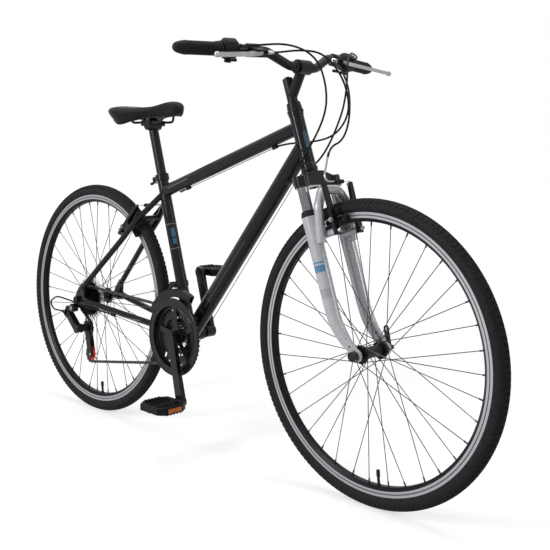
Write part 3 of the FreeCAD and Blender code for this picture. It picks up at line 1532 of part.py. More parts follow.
def make_front_derailleur():
    """Band clamp on the seat tube, and a cage of two curved plates that swings over the chainrings."""
    low = s.changer_height - s.changer_band_height / 2
    high = s.changer_height + s.changer_band_height / 2
    band = tube(on_seat(low), on_seat(high), s.seat_tube_radius + s.changer_band_wall, s.changer_band_wall)
    pivot = on_seat(s.changer_height, 0, -s.changer_arm_side)
    pin_half = AXIS_X * (s.changer_band_height + s.changer_pin_radius)
    pieces = [band]
    for side in BOTH_SIDES:
        ear = pivot + AXIS_X * (side * (s.changer_band_height / 2 + s.changer_ear / 2 + s.clear_gap))
        root = on_seat(s.changer_height, 0, -s.seat_tube_radius)
        spot = Vector(ear.x, (pivot.y + root.y) / 2, ear.z)
        pieces.append(
            block(
                spot, AXIS_X, AXIS_Y, s.changer_ear,
                s.changer_arm_side - s.seat_tube_radius + s.overrun * 2, s.changer_band_height,
            ),
        )
    pieces.append(rod(pivot - pin_half, pivot + pin_half, s.changer_pin_radius))
    core = rod(on_seat(low - s.overrun), on_seat(high + s.overrun), s.seat_tube_radius)
    node("front_derailleur_clamp", cut(fuse(*pieces), core))
    inner_radius = s.guard_radius + s.changer_clearance
    outer_radius = inner_radius + s.changer_cage_height
    plates = []
    for side in BOTH_SIDES:
        face = ring_middle + AXIS_Y * (side * s.changer_cage_half - s.changer_cage_plate / 2)
        plates.append(formed(ring_sector(face, inner_radius, outer_radius, s.changer_front, s.changer_tail,
                                         s.changer_cage_plate)))
    bridge_radius = outer_radius - s.changer_cage_plate * 2
    roof = formed(ring_sector(ring_middle - AXIS_Y * s.changer_cage_half, bridge_radius, outer_radius,
                              s.changer_front, s.changer_bridge, s.changer_cage_half * 2))
    tail_angle = math.radians(s.changer_tail - s.changer_pin_turn)
    tail = polar(ring_middle, inner_radius + s.changer_pin_radius * 2, tail_angle)
    pin = rod(*across(tail, s.changer_cage_half), s.changer_pin_radius)
    barrel = rod(pivot - AXIS_X * (s.changer_band_height / 2), pivot + AXIS_X * (s.changer_band_height / 2),
                 s.changer_pin_radius * 2)
    low_spot = polar(
        ring_middle, outer_radius - s.changer_cage_plate,
        math.atan2(pivot.z - bracket_at.z, pivot.x - bracket_at.x),
    )
    foot = Vector(pivot.x, low_spot.y, low_spot.z)
    arm = rod(pivot, foot, s.changer_pin_radius * 2)
    hole = rod(pivot - pin_half, pivot + pin_half, s.changer_pin_radius + s.running_fit)
    node("front_derailleur_cage", cut(fuse(*plates, roof, pin, barrel, arm), hole))


def ring_sector(middle, inner, outer, first, last, width):
    """Part of a flat ring between two angles, grown across the bicycle."""
    angles = [math.radians(first), math.radians((first + last) / 2), math.radians(last)]
    far = [polar(middle, outer, angle) for angle in angles]
    near = [polar(middle, inner, angle) for angle in reversed(angles)]
    edges = [
        Part.Arc(*far).toShape(), Part.LineSegment(far[2], near[0]).toShape(),
        Part.Arc(*near).toShape(), Part.LineSegment(near[2], far[0]).toShape(),
    ]
    return Part.Face(Part.Wire(edges)).extrude(AXIS_Y * width)


def make_rear_derailleur(angle, spots):
    """Mount on the hanger, swinging link, knuckle, spring cage and its two pulleys."""
    bolt = rear_axle_at - AXIS_X * s.hanger_back - AXIS_Z * s.hanger_drop
    inner_face = s.rear_spacing / 2
    outer_face = inner_face + s.dropout_thickness
    pivot = mech_pivot()
    target = Vector(guide_middle.x, pivot.y, guide_middle.z)
    along = (target - pivot).normalize()
    hinge = along.cross(AXIS_Y)
    half_link = s.mech_link_width / 2
    ear_middle = half_link + s.clear_gap + s.lever_ear / 2
    screw = rod(
        bolt - AXIS_Y * inner_face, bolt - AXIS_Y * (outer_face + s.mech_knuckle_width),
        s.hanger_bolt_radius,
    )
    knuckle = rod(
        bolt - AXIS_Y * outer_face, bolt - AXIS_Y * (outer_face + s.mech_knuckle_width),
        s.mech_knuckle_radius,
    )
    bolt_middle = Vector(bolt.x, pivot.y, bolt.z)
    back = pivot - along * (s.mech_pin_radius * 2 + s.mech_link_thickness + s.clear_gap)
    spine_half = hinge * (ear_middle + s.lever_ear / 2)
    spine = block(back, along, hinge, s.mech_link_thickness, spine_half.Length * 2, s.mech_knuckle_width)
    upper_ear = pivot + hinge * (ear_middle + s.lever_ear + s.clear_gap * 4)
    pieces = [screw, knuckle, rod(bolt_middle, upper_ear, s.mech_knuckle_radius / 2), spine]
    for side in BOTH_SIDES:
        ear = (pivot + back) / 2 + hinge * (side * ear_middle)
        length = (pivot - back).Length + s.mech_pin_radius * 4
        pieces.append(block(ear, along, hinge, length, s.lever_ear, s.mech_knuckle_width))
    pieces.append(rod(pivot - spine_half, pivot + spine_half, s.mech_pin_radius))
    barrel = mech_barrel_end(pivot)
    pieces.append(rod(barrel + AXIS_X * s.barrel_length, barrel, s.barrel_radius))
    node("rear_derailleur_mount", fuse(*pieces))
    length = (target - pivot).Length - s.mech_knuckle_radius - s.link_clearance
    bar = block(pivot + along * (length / 2), along, hinge, length, s.mech_link_width, s.mech_link_thickness)
    eye = rod(pivot - hinge * half_link, pivot + hinge * half_link, s.mech_pin_radius * 2)
    hole = rod(pivot - spine_half, pivot + spine_half, s.mech_pin_radius + s.running_fit)
    node("rear_derailleur_link", cut(fuse(bar, eye), hole))
    cage_outer = s.cage_half + s.cage_plate
    knuckle_start = guide_middle - AXIS_Y * (cage_outer + s.clear_gap)
    knuckle_end = Vector(guide_middle.x, pivot.y - s.mech_knuckle_width / 2, guide_middle.z)
    shaft_end = knuckle_start - AXIS_Y * s.mech_knuckle_width
    bore = rod(knuckle_start, shaft_end, s.cage_shaft_radius + s.running_fit)
    node("rear_derailleur_knuckle", cut(rod(knuckle_start, knuckle_end, s.mech_knuckle_radius), bore))
    lower = tension_middle(angle)
    run = (lower - guide_middle).normalize()
    cage = []
    for side in BOTH_SIDES:
        face = AXIS_Y * (side * (s.cage_half + s.cage_plate / 2))
        half = AXIS_Y * (s.cage_plate / 2)
        cage.append(
            block((guide_middle + lower) / 2 + face, run, AXIS_Y, s.cage_length, s.cage_plate, s.cage_width),
        )
        for end in (guide_middle, lower):
            cage.append(rod(end + face - half, end + face + half, s.cage_width / 2))
    for end in (guide_middle, lower):
        cage.append(rod(*across(end, s.cage_half), s.mech_pin_radius))
    cage.append(
        rod(guide_middle - AXIS_Y * s.cage_half, shaft_end + AXIS_Y * s.clear_gap, s.cage_shaft_radius),
    )
    node("rear_derailleur_cage", fuse(*cage))
    for name, middle in (("guide_pulley", guide_middle), ("tension_pulley", lower)):
        wheel = sprocket(
            s.pulley_teeth, s.pulley_width, middle, s.mech_pin_radius + s.running_fit,
            roller_phase(spots, middle),
        )
        node(name, formed(wheel))


def mech_pivot():
    """The upper pivot of the rear derailleur's link."""
    side = s.rear_spacing / 2 + s.dropout_thickness + s.mech_knuckle_width / 2
    return rear_axle_at - Vector(s.mech_pivot_back, side, s.mech_pivot_drop)


def mech_barrel_end(pivot):
    """Where the gear cable enters the rear derailleur."""
    return pivot - AXIS_X * (s.mech_knuckle_radius * 2 + s.barrel_length / 2)


def make_brake_arm(label, seat, up, out, side, noodle=None):
    """One brake arm on its stud with its pad, and on the noodle side the bent lead pipe and rubber boot."""
    inboard = up.cross(out)
    sign = side * inboard.y
    def spot(lateral, height, ahead=0):
        return seat + inboard * (sign * lateral) + up * height + out * ahead
    half = s.arm_width / 2
    tip = s.arm_tip_width / 2
    knee = s.arm_reach * ARM_KNEE_SHARE
    lean = s.arm_lean * ARM_KNEE_SHARE
    edge = [
        (-half, -s.arm_foot), (half, -s.arm_foot), (half + lean, knee),
        (tip + s.arm_lean, s.arm_reach), (s.arm_lean - tip, s.arm_reach), (lean - half, knee),
    ]
    plate = padded([(sign * lateral, height) for lateral, height in edge], s.arm_thickness, seat, inboard, up)
    hole = rod(seat - out * s.overrun, seat + out * s.boss_length, s.boss_radius + s.running_fit)
    side_at = abs(seat.y)
    face = s.rim_half_width + s.pad_gap - side_at
    back = face + s.pad_thickness
    centre = spot(face + s.pad_thickness / 2, s.pad_up, s.arm_thickness / 2 - s.pad_back)
    pad = block(centre, out, up, s.pad_length, s.pad_height, s.pad_thickness)
    pin = rod(
        spot(back - s.pad_thickness / 2, s.pad_up, s.arm_thickness / 2),
        spot(half, s.pad_up, s.arm_thickness / 2), s.pad_pin_radius,
    )
    arm = cut(plate, hole)
    pieces = [arm, cut(fuse(pad, pin), plate)]
    if noodle:
        rise, tuck = noodle
        level = s.arm_reach + s.noodle_radius
        ahead = s.arm_thickness / 2
        line = [
            spot(s.arm_lean - s.noodle_reach, level, ahead), spot(s.arm_lean, level, ahead),
            spot(s.arm_lean - tuck, level + rise, ahead),
        ]
        pieces.append(bent(line, s.noodle_radius, s.noodle_bend_radius))
        pieces.append(rod(line[0], line[0] - inboard * (sign * s.boot_length), s.boot_radius))
    node(label, group(*pieces))


def noodle_top(seat, up, out, side, rise, tuck):
    """The end of a lead pipe, where the cable housing begins."""
    inboard = up.cross(out)
    lateral = inboard * (side * inboard.y * (s.arm_lean - tuck))
    return seat + lateral + up * (s.arm_reach + s.noodle_radius + rise) + out * (s.arm_thickness / 2)


def make_brakes(stays):
    for side, hand in zip(BOTH_SIDES, ("left", "right")):
        front = (s.noodle_rise, s.noodle_lean) if side < 0 else None
        make_brake_arm(f"front_brake_{hand}", *front_brake_seat(side), side, front)
        rear = (s.rear_noodle_rise, 0) if side > 0 else None
        make_brake_arm(f"rear_brake_{hand}", *rear_brake_seat(stays[0], side), side, rear)


rail_middle = on_seat(s.post_head) + AXIS_Z * s.rail_height
saddle_low = rail_middle.z - s.saddle_base
saddle_rear = rail_middle.x - s.saddle_back


def make_seat():
    """Post with its rail clamp, bent rails, and a padded saddle over a hollow underside."""
    post = rod(on_seat(s.post_low), on_seat(s.post_head), s.post_radius)
    lower = block(
        rail_middle - AXIS_Z * (s.clamp_height / 2), AXIS_X, AXIS_Y, s.clamp_length, s.clamp_width,
        s.clamp_height,
    )
    upper = block(
        rail_middle + AXIS_Z * (s.clamp_height / 4), AXIS_X, AXIS_Y, s.clamp_length, s.clamp_width,
        s.clamp_height / 2,
    )
    rails = []
    for side in BOTH_SIDES:
        line = [
            rail_middle + Vector(-s.rail_back - s.rail_tuck, side * s.rail_rear_side, s.rail_lift),
            rail_middle + Vector(-s.rail_back, side * s.rail_side, 0),
            rail_middle + Vector(s.rail_ahead, side * s.rail_side, 0),
            rail_middle + Vector(s.rail_ahead + s.rail_tuck, side * s.rail_nose_side, s.rail_nose_lift),
        ]
        rails.append(bent(line, s.rail_radius, s.rail_bend_radius))
    bolt = rod(
        rail_middle - AXIS_Z * (s.clamp_height * 2), rail_middle + AXIS_Z * s.clamp_height,
        s.stem_bolt_radius,
    )
    node("seatpost", cut(fuse(post, lower, upper, bolt), *rails))
    node("saddle_rails", group(*rails))
    shell = formed(saddle_form(0))
    hollow = formed(saddle_form(s.saddle_shell))
    node("saddle", cut(shell, hollow, *rails))


def saddle_form(inset):
    """The saddle's outer form, or with an inset the hollow under its shell."""
    sections = []
    for along, wide, crown, edge, base in SADDLE_SHARES:
        start = saddle_rear + inset
        spot = start + (s.saddle_length - inset * 2) * along
        half = s.saddle_half_width * wide - inset * HOLLOW_SIDE_SHARE
        top = saddle_low + s.saddle_depth * crown - inset
        brim = saddle_low + s.saddle_depth * edge - inset
        low = saddle_low + s.saddle_depth * base - inset
        waist = half * SADDLE_WAIST_SHARE
        tuck = brim + (low - brim) * SADDLE_TUCK_SHARE
        def corner(side, height):
            return Vector(spot, side, height)
        sections.append(Part.Wire([
            Part.Arc(corner(half, brim), corner(0, top), corner(-half, brim)).toShape(),
            Part.Arc(
                corner(-half, brim), corner(-half * SADDLE_FLANK_SHARE, tuck), corner(-waist, low),
            ).toShape(),
            Part.LineSegment(corner(-waist, low), corner(waist, low)).toShape(),
            Part.Arc(
                corner(waist, low), corner(half * SADDLE_FLANK_SHARE, tuck), corner(half, brim),
            ).toShape(),
        ]))
    return Part.makeLoft(sections, True, False)


def make_seat_collar():
    """Clamp ring round the top of the seat tube, with rear ears, a cross bolt and a quick-release lever."""
    low = s.seat_tube_length - s.collar_height
    ring_piece = rod(on_seat(low), on_seat(s.seat_tube_length), s.collar_radius)
    middle = s.seat_tube_length - s.collar_height / 2
    ears = block(
        on_seat(middle, -s.collar_radius - s.collar_ear_length / 2 + s.overrun / 2), seat_ahead, AXIS_Y,
        s.collar_ear_length, s.collar_ear_width, s.collar_height,
    )
    core = rod(on_seat(low - s.overrun), on_seat(s.seat_tube_length + s.overrun), s.seat_tube_radius)
    slot = block(
        on_seat(middle, -s.collar_radius), seat_ahead, AXIS_Y, s.collar_ear_length * 3, s.collar_lip,
        s.collar_height * 2,
    )
    split = cut(fuse(ring_piece, ears), core, slot)
    bolt_at = on_seat(middle, -s.collar_radius - s.collar_ear_length / 2)
    pivot = bolt_at + AXIS_Y * (s.collar_ear_width / 2 + s.collar_lever_radius + s.clear_gap * 2)
    bolt = rod(
        bolt_at - AXIS_Y * (s.collar_ear_width / 2 + s.collar_lip),
        bolt_at + AXIS_Y * (s.collar_ear_width / 2), s.collar_lever_radius,
    )
    node("seat_collar", fuse(split, bolt, *cam_ears(pivot, seat_up, s.collar_lever_radius)))
    node(
        "seat_collar_lever",
        cam_lever(pivot, seat_up, -seat_ahead, s.collar_lever_radius, s.collar_lever_length),
    )


def cam_ears(pivot, hinge, radius):
    """Two ears and a pin that carry a quick-release lever on the left side."""
    pieces = []
    ear_side = radius + s.clear_gap + s.lever_ear / 2
    for side in BOTH_SIDES:
        spot = pivot + hinge * (side * ear_side) - AXIS_Y * s.clear_gap
        pieces.append(block(spot, AXIS_Y, hinge, radius * 2 + s.clear_gap * 4, s.lever_ear, radius * 2))
    half = hinge * (ear_side + s.lever_ear / 2)
    pieces.append(rod(pivot - half, pivot + half, s.changer_pin_radius))
    return pieces


def cam_lever(pivot, hinge, reach, radius, length):
    barrel = rod(pivot - hinge * radius, pivot + hinge * radius, radius)
    blade = taper(pivot, pivot + reach * length, radius * BLADE_ROOT_SHARE, radius)
    span = hinge * (radius * 2)
    return cut(fuse(barrel, blade), rod(pivot - span, pivot + span, s.changer_pin_radius + s.running_fit))


def make_cables(stays):
    """Cable housings from the controls to their stops, and the bare wires along the frame."""
    left, right = stays
    lead = s.stop_lead
    top_stops = [top_line(share) for share in TOP_STOP_SHARES]
    down_stops = [down_line(DOWN_STOP_SHARE, side) for side in BOTH_SIDES]
    front_end = noodle_top(*front_brake_seat(-1), -1, s.noodle_rise, s.noodle_lean)
    front_lead = (steer_up * s.noodle_rise + AXIS_Y * s.noodle_lean).normalize()
    rear_end = noodle_top(*rear_brake_seat(left, 1), 1, s.rear_noodle_rise, 0)
    rear_lead = stay_spot(left, brake_reach)[1]
    housings = []
    for side, corners, end, ahead in (
        (1, FRONT_BRAKE_ROUTE, front_end, front_lead),
        (-1, REAR_BRAKE_ROUTE, top_stops[1], top_along),
    ):
        start = barrel_end(side)
        first = start - bar_frame(side)[0] * s.barrel_length
        route = [on_steer(*corner) for corner in corners]
        housings.append(cord(start, first, route, end + ahead * lead, end))
    for side, corners, end in ((1, FRONT_SHIFT_ROUTE, down_stops[0]), (-1, REAR_SHIFT_ROUTE, down_stops[1])):
        start = shift_end(side)
        first = start + (start - shift_root(side))
        route = [on_steer(*corner) for corner in corners]
        housings.append(cord(start, first, route, end + down_along * lead, end))
    node("control_cables", group(*housings))
    under_drop = s.shell_radius + s.guide_thickness + s.wire_radius * 4
    under = bracket_at - AXIS_Z * under_drop + AXIS_X * s.wire_ahead
    stay_stop = chainstay_stop(right)
    stay_along = (right.end - right.knee).normalize()
    changer = on_seat(s.changer_height, -s.seat_tube_radius * 2, -s.changer_arm_side / 2)
    spread = AXIS_Y * s.stop_side
    wires = [
        [top_stops[1], top_stops[0]],
        [down_stops[1], under - spread, stay_stop],
        [down_stops[0], under + spread, under - AXIS_X * (s.guide_length * 2), changer],
    ]
    pieces = [bent(line, s.wire_radius, s.wire_bend) for line in wires]
    barrel = mech_barrel_end(mech_pivot())
    loop = [rear_axle_at + Vector(*corner) for corner in REAR_LOOP_ROUTE]
    pieces.append(cord(stay_stop, stay_stop + stay_along * lead, loop, barrel - AXIS_X * lead, barrel))
    top_stop = top_stops[0]
    rear_stop = rear_end + rear_lead * (s.clear_gap * 2)
    arch = [on_seat(*corner) for corner in REAR_NOODLE_ROUTE]
    pieces.append(cord(top_stop, top_stop - top_along * lead, arch, rear_end + rear_lead * lead, rear_stop))
    node("frame_cables", group(*pieces))


def cord(start, first, route, last, end):
    """A cable housing from its start to its end, through the corners of its route."""
    return bent([start, first] + route + [last, end], s.housing_radius)


def main():
    top_core, down_core, seat_core, shell_core = make_main_tubes()
    plates = make_dropouts()
    stays = make_stays(plates, seat_core, shell_core, top_core)
    make_braze_ons(stays, top_core, down_core, shell_core)
    make_bearing_cups()
    make_fork()
    make_fork_lowers()
    make_stem_and_bar()
    make_controls()
    make_wheels()
    make_axles()
    cage_angle, rollers = make_chain()
    make_freewheel(rollers)
    make_crank(rollers)
    make_front_derailleur()
    make_rear_derailleur(cage_angle, rollers)
    make_brakes(stays)
    make_seat()
    make_seat_collar()
    make_cables(stays)


main()
doc.recompute()

faults = [item.Label for item in doc.Objects if "Invalid" in item.State or "Error" in item.State]
faults += [
    item.Label for item in NODES if item.Shape.isNull() or not item.Shape.isValid() or not item.Shape.Solids
]
if faults:
    raise RuntimeError("failed pieces: " + ", ".join(faults))
os.makedirs("parts", exist_ok=True)
for item in NODES:
    item.Shape.exportStep(f"parts/{item.Label}.step")
print(len(NODES), "nodes written")
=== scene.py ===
import bmesh
import bpy
import json
import math
from mathutils import Matrix, Vector


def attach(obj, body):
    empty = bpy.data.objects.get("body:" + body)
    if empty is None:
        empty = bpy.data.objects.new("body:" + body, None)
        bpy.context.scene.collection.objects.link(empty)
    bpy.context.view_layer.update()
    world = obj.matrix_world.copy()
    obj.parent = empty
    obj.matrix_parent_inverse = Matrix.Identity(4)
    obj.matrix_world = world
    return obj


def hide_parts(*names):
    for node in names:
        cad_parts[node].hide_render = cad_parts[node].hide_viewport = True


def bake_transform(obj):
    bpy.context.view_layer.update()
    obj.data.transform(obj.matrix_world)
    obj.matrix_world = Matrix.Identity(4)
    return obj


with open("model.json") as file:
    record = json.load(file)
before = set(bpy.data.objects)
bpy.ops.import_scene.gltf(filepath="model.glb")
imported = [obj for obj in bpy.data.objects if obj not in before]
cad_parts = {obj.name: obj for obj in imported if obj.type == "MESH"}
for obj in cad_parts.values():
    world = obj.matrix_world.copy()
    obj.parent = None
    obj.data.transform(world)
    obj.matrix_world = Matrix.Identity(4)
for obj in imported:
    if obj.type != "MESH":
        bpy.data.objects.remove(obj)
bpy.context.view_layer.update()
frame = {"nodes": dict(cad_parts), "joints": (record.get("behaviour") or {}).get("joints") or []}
nodes = frame["nodes"]
joints = {j["name"]: j for j in frame["joints"]}


def joint_at(name):
    return Vector(joints[name]["pos_m"])


# Places in the shared frame, in metres
X, Y, Z = Vector((1, 0, 0)), Vector((0, 1, 0)), Vector((0, 0, 1))
FRONT_AXLE = joint_at("front_wheel_spin")
REAR_AXLE = joint_at("rear_wheel_spin")
CRANK_MIDDLE = joint_at("crank_spin")
GUIDE = joint_at("guide_pulley_spin")
TENSION = joint_at("tension_pulley_spin")
FORK_OFFSET = 0.048
STEER_UP = Vector(joints["steering_turn"]["axis"])
STEER_AHEAD = Y.cross(STEER_UP)
STEER_FOOT = FRONT_AXLE - STEER_AHEAD * FORK_OFFSET
SEAT_UP = Vector(joints["seat_height"]["axis"])
SEAT_AHEAD = Y.cross(SEAT_UP)
BOTH_SIDES = (1, -1)
FULL_TURN = 2 * math.pi
# How far a bolt's head is let into its seat
SINK = 0.0005


def on_steer(up, ahead=0.0, side=0.0):
    """A point set out from the steering axis."""
    return STEER_FOOT + STEER_UP * up + STEER_AHEAD * ahead + Y * side


class Look:
    """A node material with one principled shader."""

    def __init__(self, name):
        self.material = bpy.data.materials.new(name)
        self.material.use_nodes = True
        self.tree = self.material.node_tree
        self.shader = self.tree.nodes["Principled BSDF"]
        self.place = self.tree.nodes.new("ShaderNodeTexCoord").outputs["Object"]

    def add(self, kind, inputs=(), **settings):
        """A new node, with its settings and its inputs by place or by name."""
        made = self.tree.nodes.new(kind)
        for key, value in settings.items():
            setattr(made, key, value)
        for key, value in dict(inputs).items():
            self.set(made.inputs[key], value)
        return made

    def set(self, socket, value):
        """Link a socket or set its value."""
        if isinstance(value, bpy.types.NodeSocket):
            self.tree.links.new(value, socket)
        elif isinstance(value, tuple) and len(value) == 3 and socket.type == "RGBA":
            socket.default_value = (*value, 1)
        else:
            socket.default_value = value

    def math(self, operation, first, second=0.0):
        return self.add("ShaderNodeMath", {0: first, 1: second}, operation=operation).outputs[0]

    def vector(self, operation, *inputs):
        return self.add("ShaderNodeVectorMath", enumerate(inputs), operation=operation)

    def noise(self, scale, detail):
        """A noise value over the surface."""
        inputs = {"Vector": self.place, "Scale": scale, "Detail": detail}
        return self.add("ShaderNodeTexNoise", inputs).outputs["Fac"]

    def spread(self, value, low, high, start=0.3, end=0.7):
        """A value between a start and an end taken to a range."""
        return self.add("ShaderNodeMapRange", {0: value, 1: start, 2: end, 3: low, 4: high}).outputs[0]

    def mix(self, share, first, second):
        made = self.add("ShaderNodeMix", data_type="RGBA")
        self.set(made.inputs["Factor"], share)
        self.set(made.inputs["A"], first)
        self.set(made.inputs["B"], second)
        return made.outputs["Result"]

    def offset(self, origin):
        """The surface point as seen from an origin."""
        return self.vector("SUBTRACT", self.place, tuple(origin)).outputs[0]

    def along(self, origin, axis):
        """Distance of the surface point from an origin along an axis."""
        return self.vector("DOT_PRODUCT", self.offset(origin), tuple(axis)).outputs["Value"]

    def wheel_radius(self, axle):
        """Distance of the surface point from an axle along Y."""
        flat = self.vector("MULTIPLY", self.offset(axle), (1, 0, 1)).outputs[0]
        return self.vector("LENGTH", flat).outputs["Value"]

    def bands(self, value, *limits):
        """One between any pair of limits and zero outside them."""
        total = None
        for low, high in limits:
            over = self.math("GREATER_THAN", value, low)
            band = self.math("MULTIPLY", over, self.math("LESS_THAN", value, high))
            total = band if total is None else self.math("MAXIMUM", total, band)
        return total

    def all_of(self, first, *masks):
        """One where all the masks are one."""
        for mask in masks:
            first = self.math("MULTIPLY", first, mask)
        return first

    def bump(self, height, strength, distance):
        made = self.add("ShaderNodeBump", {"Strength": strength, "Distance": distance, "Height": height})
        self.set(self.shader.inputs["Normal"], made.outputs[0])


def finish_look(name, colour, rough, metal=0.0, tint=0.2, grain=90.0, fine=900.0, wear=0.07, relief=0.15,
                depth=0.0003, **sockets):
    """A material whose colour, roughness and relief vary over the surface."""
    look = Look(name)
    cloud = look.noise(grain, 4.0)
    speck = look.noise(fine, 2.0)
    dark = tuple(c * (1 - tint) for c in colour)
    light = tuple(min(1.0, c * (1 + tint)) for c in colour)
    look.colour = look.mix(look.spread(cloud, 0.0, 1.0), dark, light)
    look.set(look.shader.inputs["Base Color"], look.colour)
    look.set(look.shader.inputs["Roughness"], look.spread(speck, rough - wear, rough + wear))
    look.shader.inputs["Metallic"].default_value = metal
    if relief:
        look.bump(speck, relief, depth)
    for key, value in sockets.items():
        look.shader.inputs[key.replace("_", " ")].default_value = value
    return look


def painted(look, *layers):
    """Lay masks of plain colour over a look."""
    for mask, colour in layers:
        look.colour = look.mix(mask, look.colour, colour)
    look.set(look.shader.inputs["Base Color"], look.colour)
    return look


# Finishes
GLOSS = {"Coat_Weight": 1.0, "Coat_Roughness": 0.06, "Coat_IOR": 1.22, "Specular_IOR_Level": 0.04}
DULL = {"Specular_IOR_Level": 0.09}
INK = (0.006, 0.0066, 0.009)
JET = (0.0065, 0.0065, 0.0075)
SOOT = (0.0075, 0.0075, 0.0085)
BLUE = (0.02, 0.14, 0.27)

anodised = finish_look("black_anodised", SOOT, 0.34, relief=0.06, Specular_IOR_Level=0.16)
satin_black = finish_look("satin_black", JET, 0.28, relief=0.04,
                          Coat_Weight=0.5, Coat_Roughness=0.12, Coat_IOR=1.22, **DULL)
gloss_black = finish_look("gloss_black", JET, 0.3, relief=0.03,
                          Coat_Weight=1.0, Coat_Roughness=0.1, Coat_IOR=1.2, Specular_IOR_Level=0.06)
resin = finish_look("black_resin", SOOT, 0.45, relief=0.3, depth=0.0002, fine=2600.0, **DULL)
rubber = finish_look("grip_rubber", (0.014, 0.014, 0.0148), 0.6, relief=0.35, fine=1800.0, **DULL)
tyre_rubber = finish_look("tyre_rubber", (0.0145, 0.0145, 0.0155), 0.66, relief=0.4, fine=1500.0, **DULL)
steel = finish_look("zinc_steel", (0.3, 0.3, 0.31), 0.3, metal=1.0, tint=0.1)
dark_steel = finish_look("dark_steel", (0.022, 0.022, 0.024), 0.34, metal=0.9, tint=0.3)
chain_steel = finish_look("chain_steel", (0.055, 0.052, 0.05), 0.36, metal=0.95, tint=0.35, grain=220.0)
spoke_steel = finish_look("spoke_steel", (0.045, 0.045, 0.048), 0.3, metal=0.9, tint=0.15)
chrome = finish_look("chrome", (0.17, 0.175, 0.19), 0.07, metal=1.0, tint=0.04, wear=0.03, relief=0.01)
silver = finish_look("silver_paint", (0.35, 0.36, 0.385), 0.3, metal=0.15, tint=0.06, relief=0.04,
                     Coat_Weight=1.0, Coat_Roughness=0.06, Coat_IOR=1.5)
bright_alloy = finish_look("bright_alloy", (0.31, 0.315, 0.33), 0.28, metal=1.0, tint=0.08)
red_resin = finish_look("red_resin", (0.42, 0.012, 0.015), 0.36)
cable_black = finish_look("cable_black", JET, 0.36, relief=0.08, **DULL)
cover = finish_look("saddle_cover", (0.007, 0.007, 0.008), 0.46, relief=0.5, depth=0.0004, fine=1300.0,
                    Sheen_Weight=0.05, Sheen_Roughness=0.5, **DULL)
amber = finish_look("amber_reflector", (0.56, 0.135, 0.006), 0.2, tint=0.15, relief=0.25, depth=0.0006,
                    fine=420.0, Specular_IOR_Level=0.2, Coat_Weight=0.3, Coat_Roughness=0.05)
clear = finish_look("clear_guard", (0.86, 0.88, 0.9), 0.12, tint=0.03, relief=0.05,
                    Transmission_Weight=0.85, IOR=1.47)

# Rims: black, with two machined bands and a wear groove between them
RIM_TRACKS = ((0.3035, 0.3088), (0.3112, 0.3172))
RIM_GROOVE = (0.3088, 0.3112)
MACHINED, GROOVE = (0.34, 0.35, 0.37), (0.06, 0.06, 0.065)
RIM_ROUGH, TRACK_ROUGH = 0.34, 0.27


def rim_look(name, axle):
    look = finish_look(name, JET, RIM_ROUGH, relief=0.03, **DULL)
    radius = look.wheel_radius(axle)
    track = look.bands(radius, *RIM_TRACKS)
    painted(look, (track, MACHINED), (look.bands(radius, RIM_GROOVE), GROOVE))
    waves = look.add("ShaderNodeTexWave", {"Vector": look.place, "Scale": 1.0}, wave_type="RINGS")
    turned = look.math("MULTIPLY", track, look.spread(waves.outputs["Fac"], 0.7, 1.0))
    look.set(look.shader.inputs["Metallic"], track)
    look.set(look.shader.inputs["Roughness"], look.spread(turned, RIM_ROUGH, TRACK_ROUGH, 0.0, 1.0))
    return look


# Plain stripes and blocks on the tubes and the fork legs
# A limit beyond any part of a tube
FAR = 1.0


def marked(look, *marks):
    """Lay marks of plain colour over a look, each where the surface lies in all of its bands."""
    layers = []
    for colour, *bands in marks:
        masks = [look.bands(look.along(origin, axis), *limits) for origin, axis, *limits in bands]
        layers.append((look.all_of(*masks), colour))
    return painted(look, *layers)


def tube_lines(start, end, run, lines, colour):
    """A mark of thin lines along the right side of a tube, each between two heights across it."""
    along = (end - start).normalized()
    return colour, (start, Y, (-FAR, 0)), (start, along, run), (start, Y.cross(along), *lines)


def frame_paint(name, *marks):
    return marked(finish_look(name, INK, 0.3, tint=0.25, relief=0.02, wear=0.04, **GLOSS), *marks)


# Each mark: a colour, then bands of an origin, an axis and the limits along it
HEAD_MARK = (
    (0.05, 0.1, 0.15), (STEER_FOOT, STEER_UP, (0.500, 0.540)), (STEER_FOOT, Y, (-0.010, 0.010)),
    (STEER_FOOT, STEER_AHEAD, (0, FAR)),
)
TOP_REAR, TOP_FRONT = Vector((-0.2064, 0, 0.6852)), Vector((0.3109, 0, 0.8589))
TOP_MARK = tube_lines(TOP_REAR, TOP_FRONT, (0.035, 0.125), ((-0.002, 0.001),), (0.1, 0.105, 0.11))
DOWN_FRONT, DOWN_LINES = Vector((0.3273, 0, 0.8106)), ((-0.0085, -0.007), (0.007, 0.0085))
DOWN_MARK = tube_lines(CRANK_MIDDLE, DOWN_FRONT, (0.12, 0.36), DOWN_LINES, (0.075, 0.078, 0.082))
SEAT_SHOWN = (CRANK_MIDDLE, (SEAT_AHEAD - Y).normalized(), (0.006, FAR))
SEAT_STRIP = (CRANK_MIDDLE, (SEAT_AHEAD + Y).normalized(), (-0.001, 0.0085))
SEAT_LINES = ((0.2385, 0.240), (0.3085, 0.310), (0.135, 0.1375))
SEAT_MARKS = (
    ((0.03, 0.12, 0.19), (CRANK_MIDDLE, SEAT_UP, (0.252, 0.268), (0.272, 0.297)), SEAT_SHOWN, SEAT_STRIP),
    ((0.2, 0.21, 0.22), (CRANK_MIDDLE, SEAT_UP, *SEAT_LINES), SEAT_SHOWN),
)
STAY_SHOWN, STAY_LEVEL = (Vector(), Y, (-FAR, -0.045)), (0, 0, 0.3185)
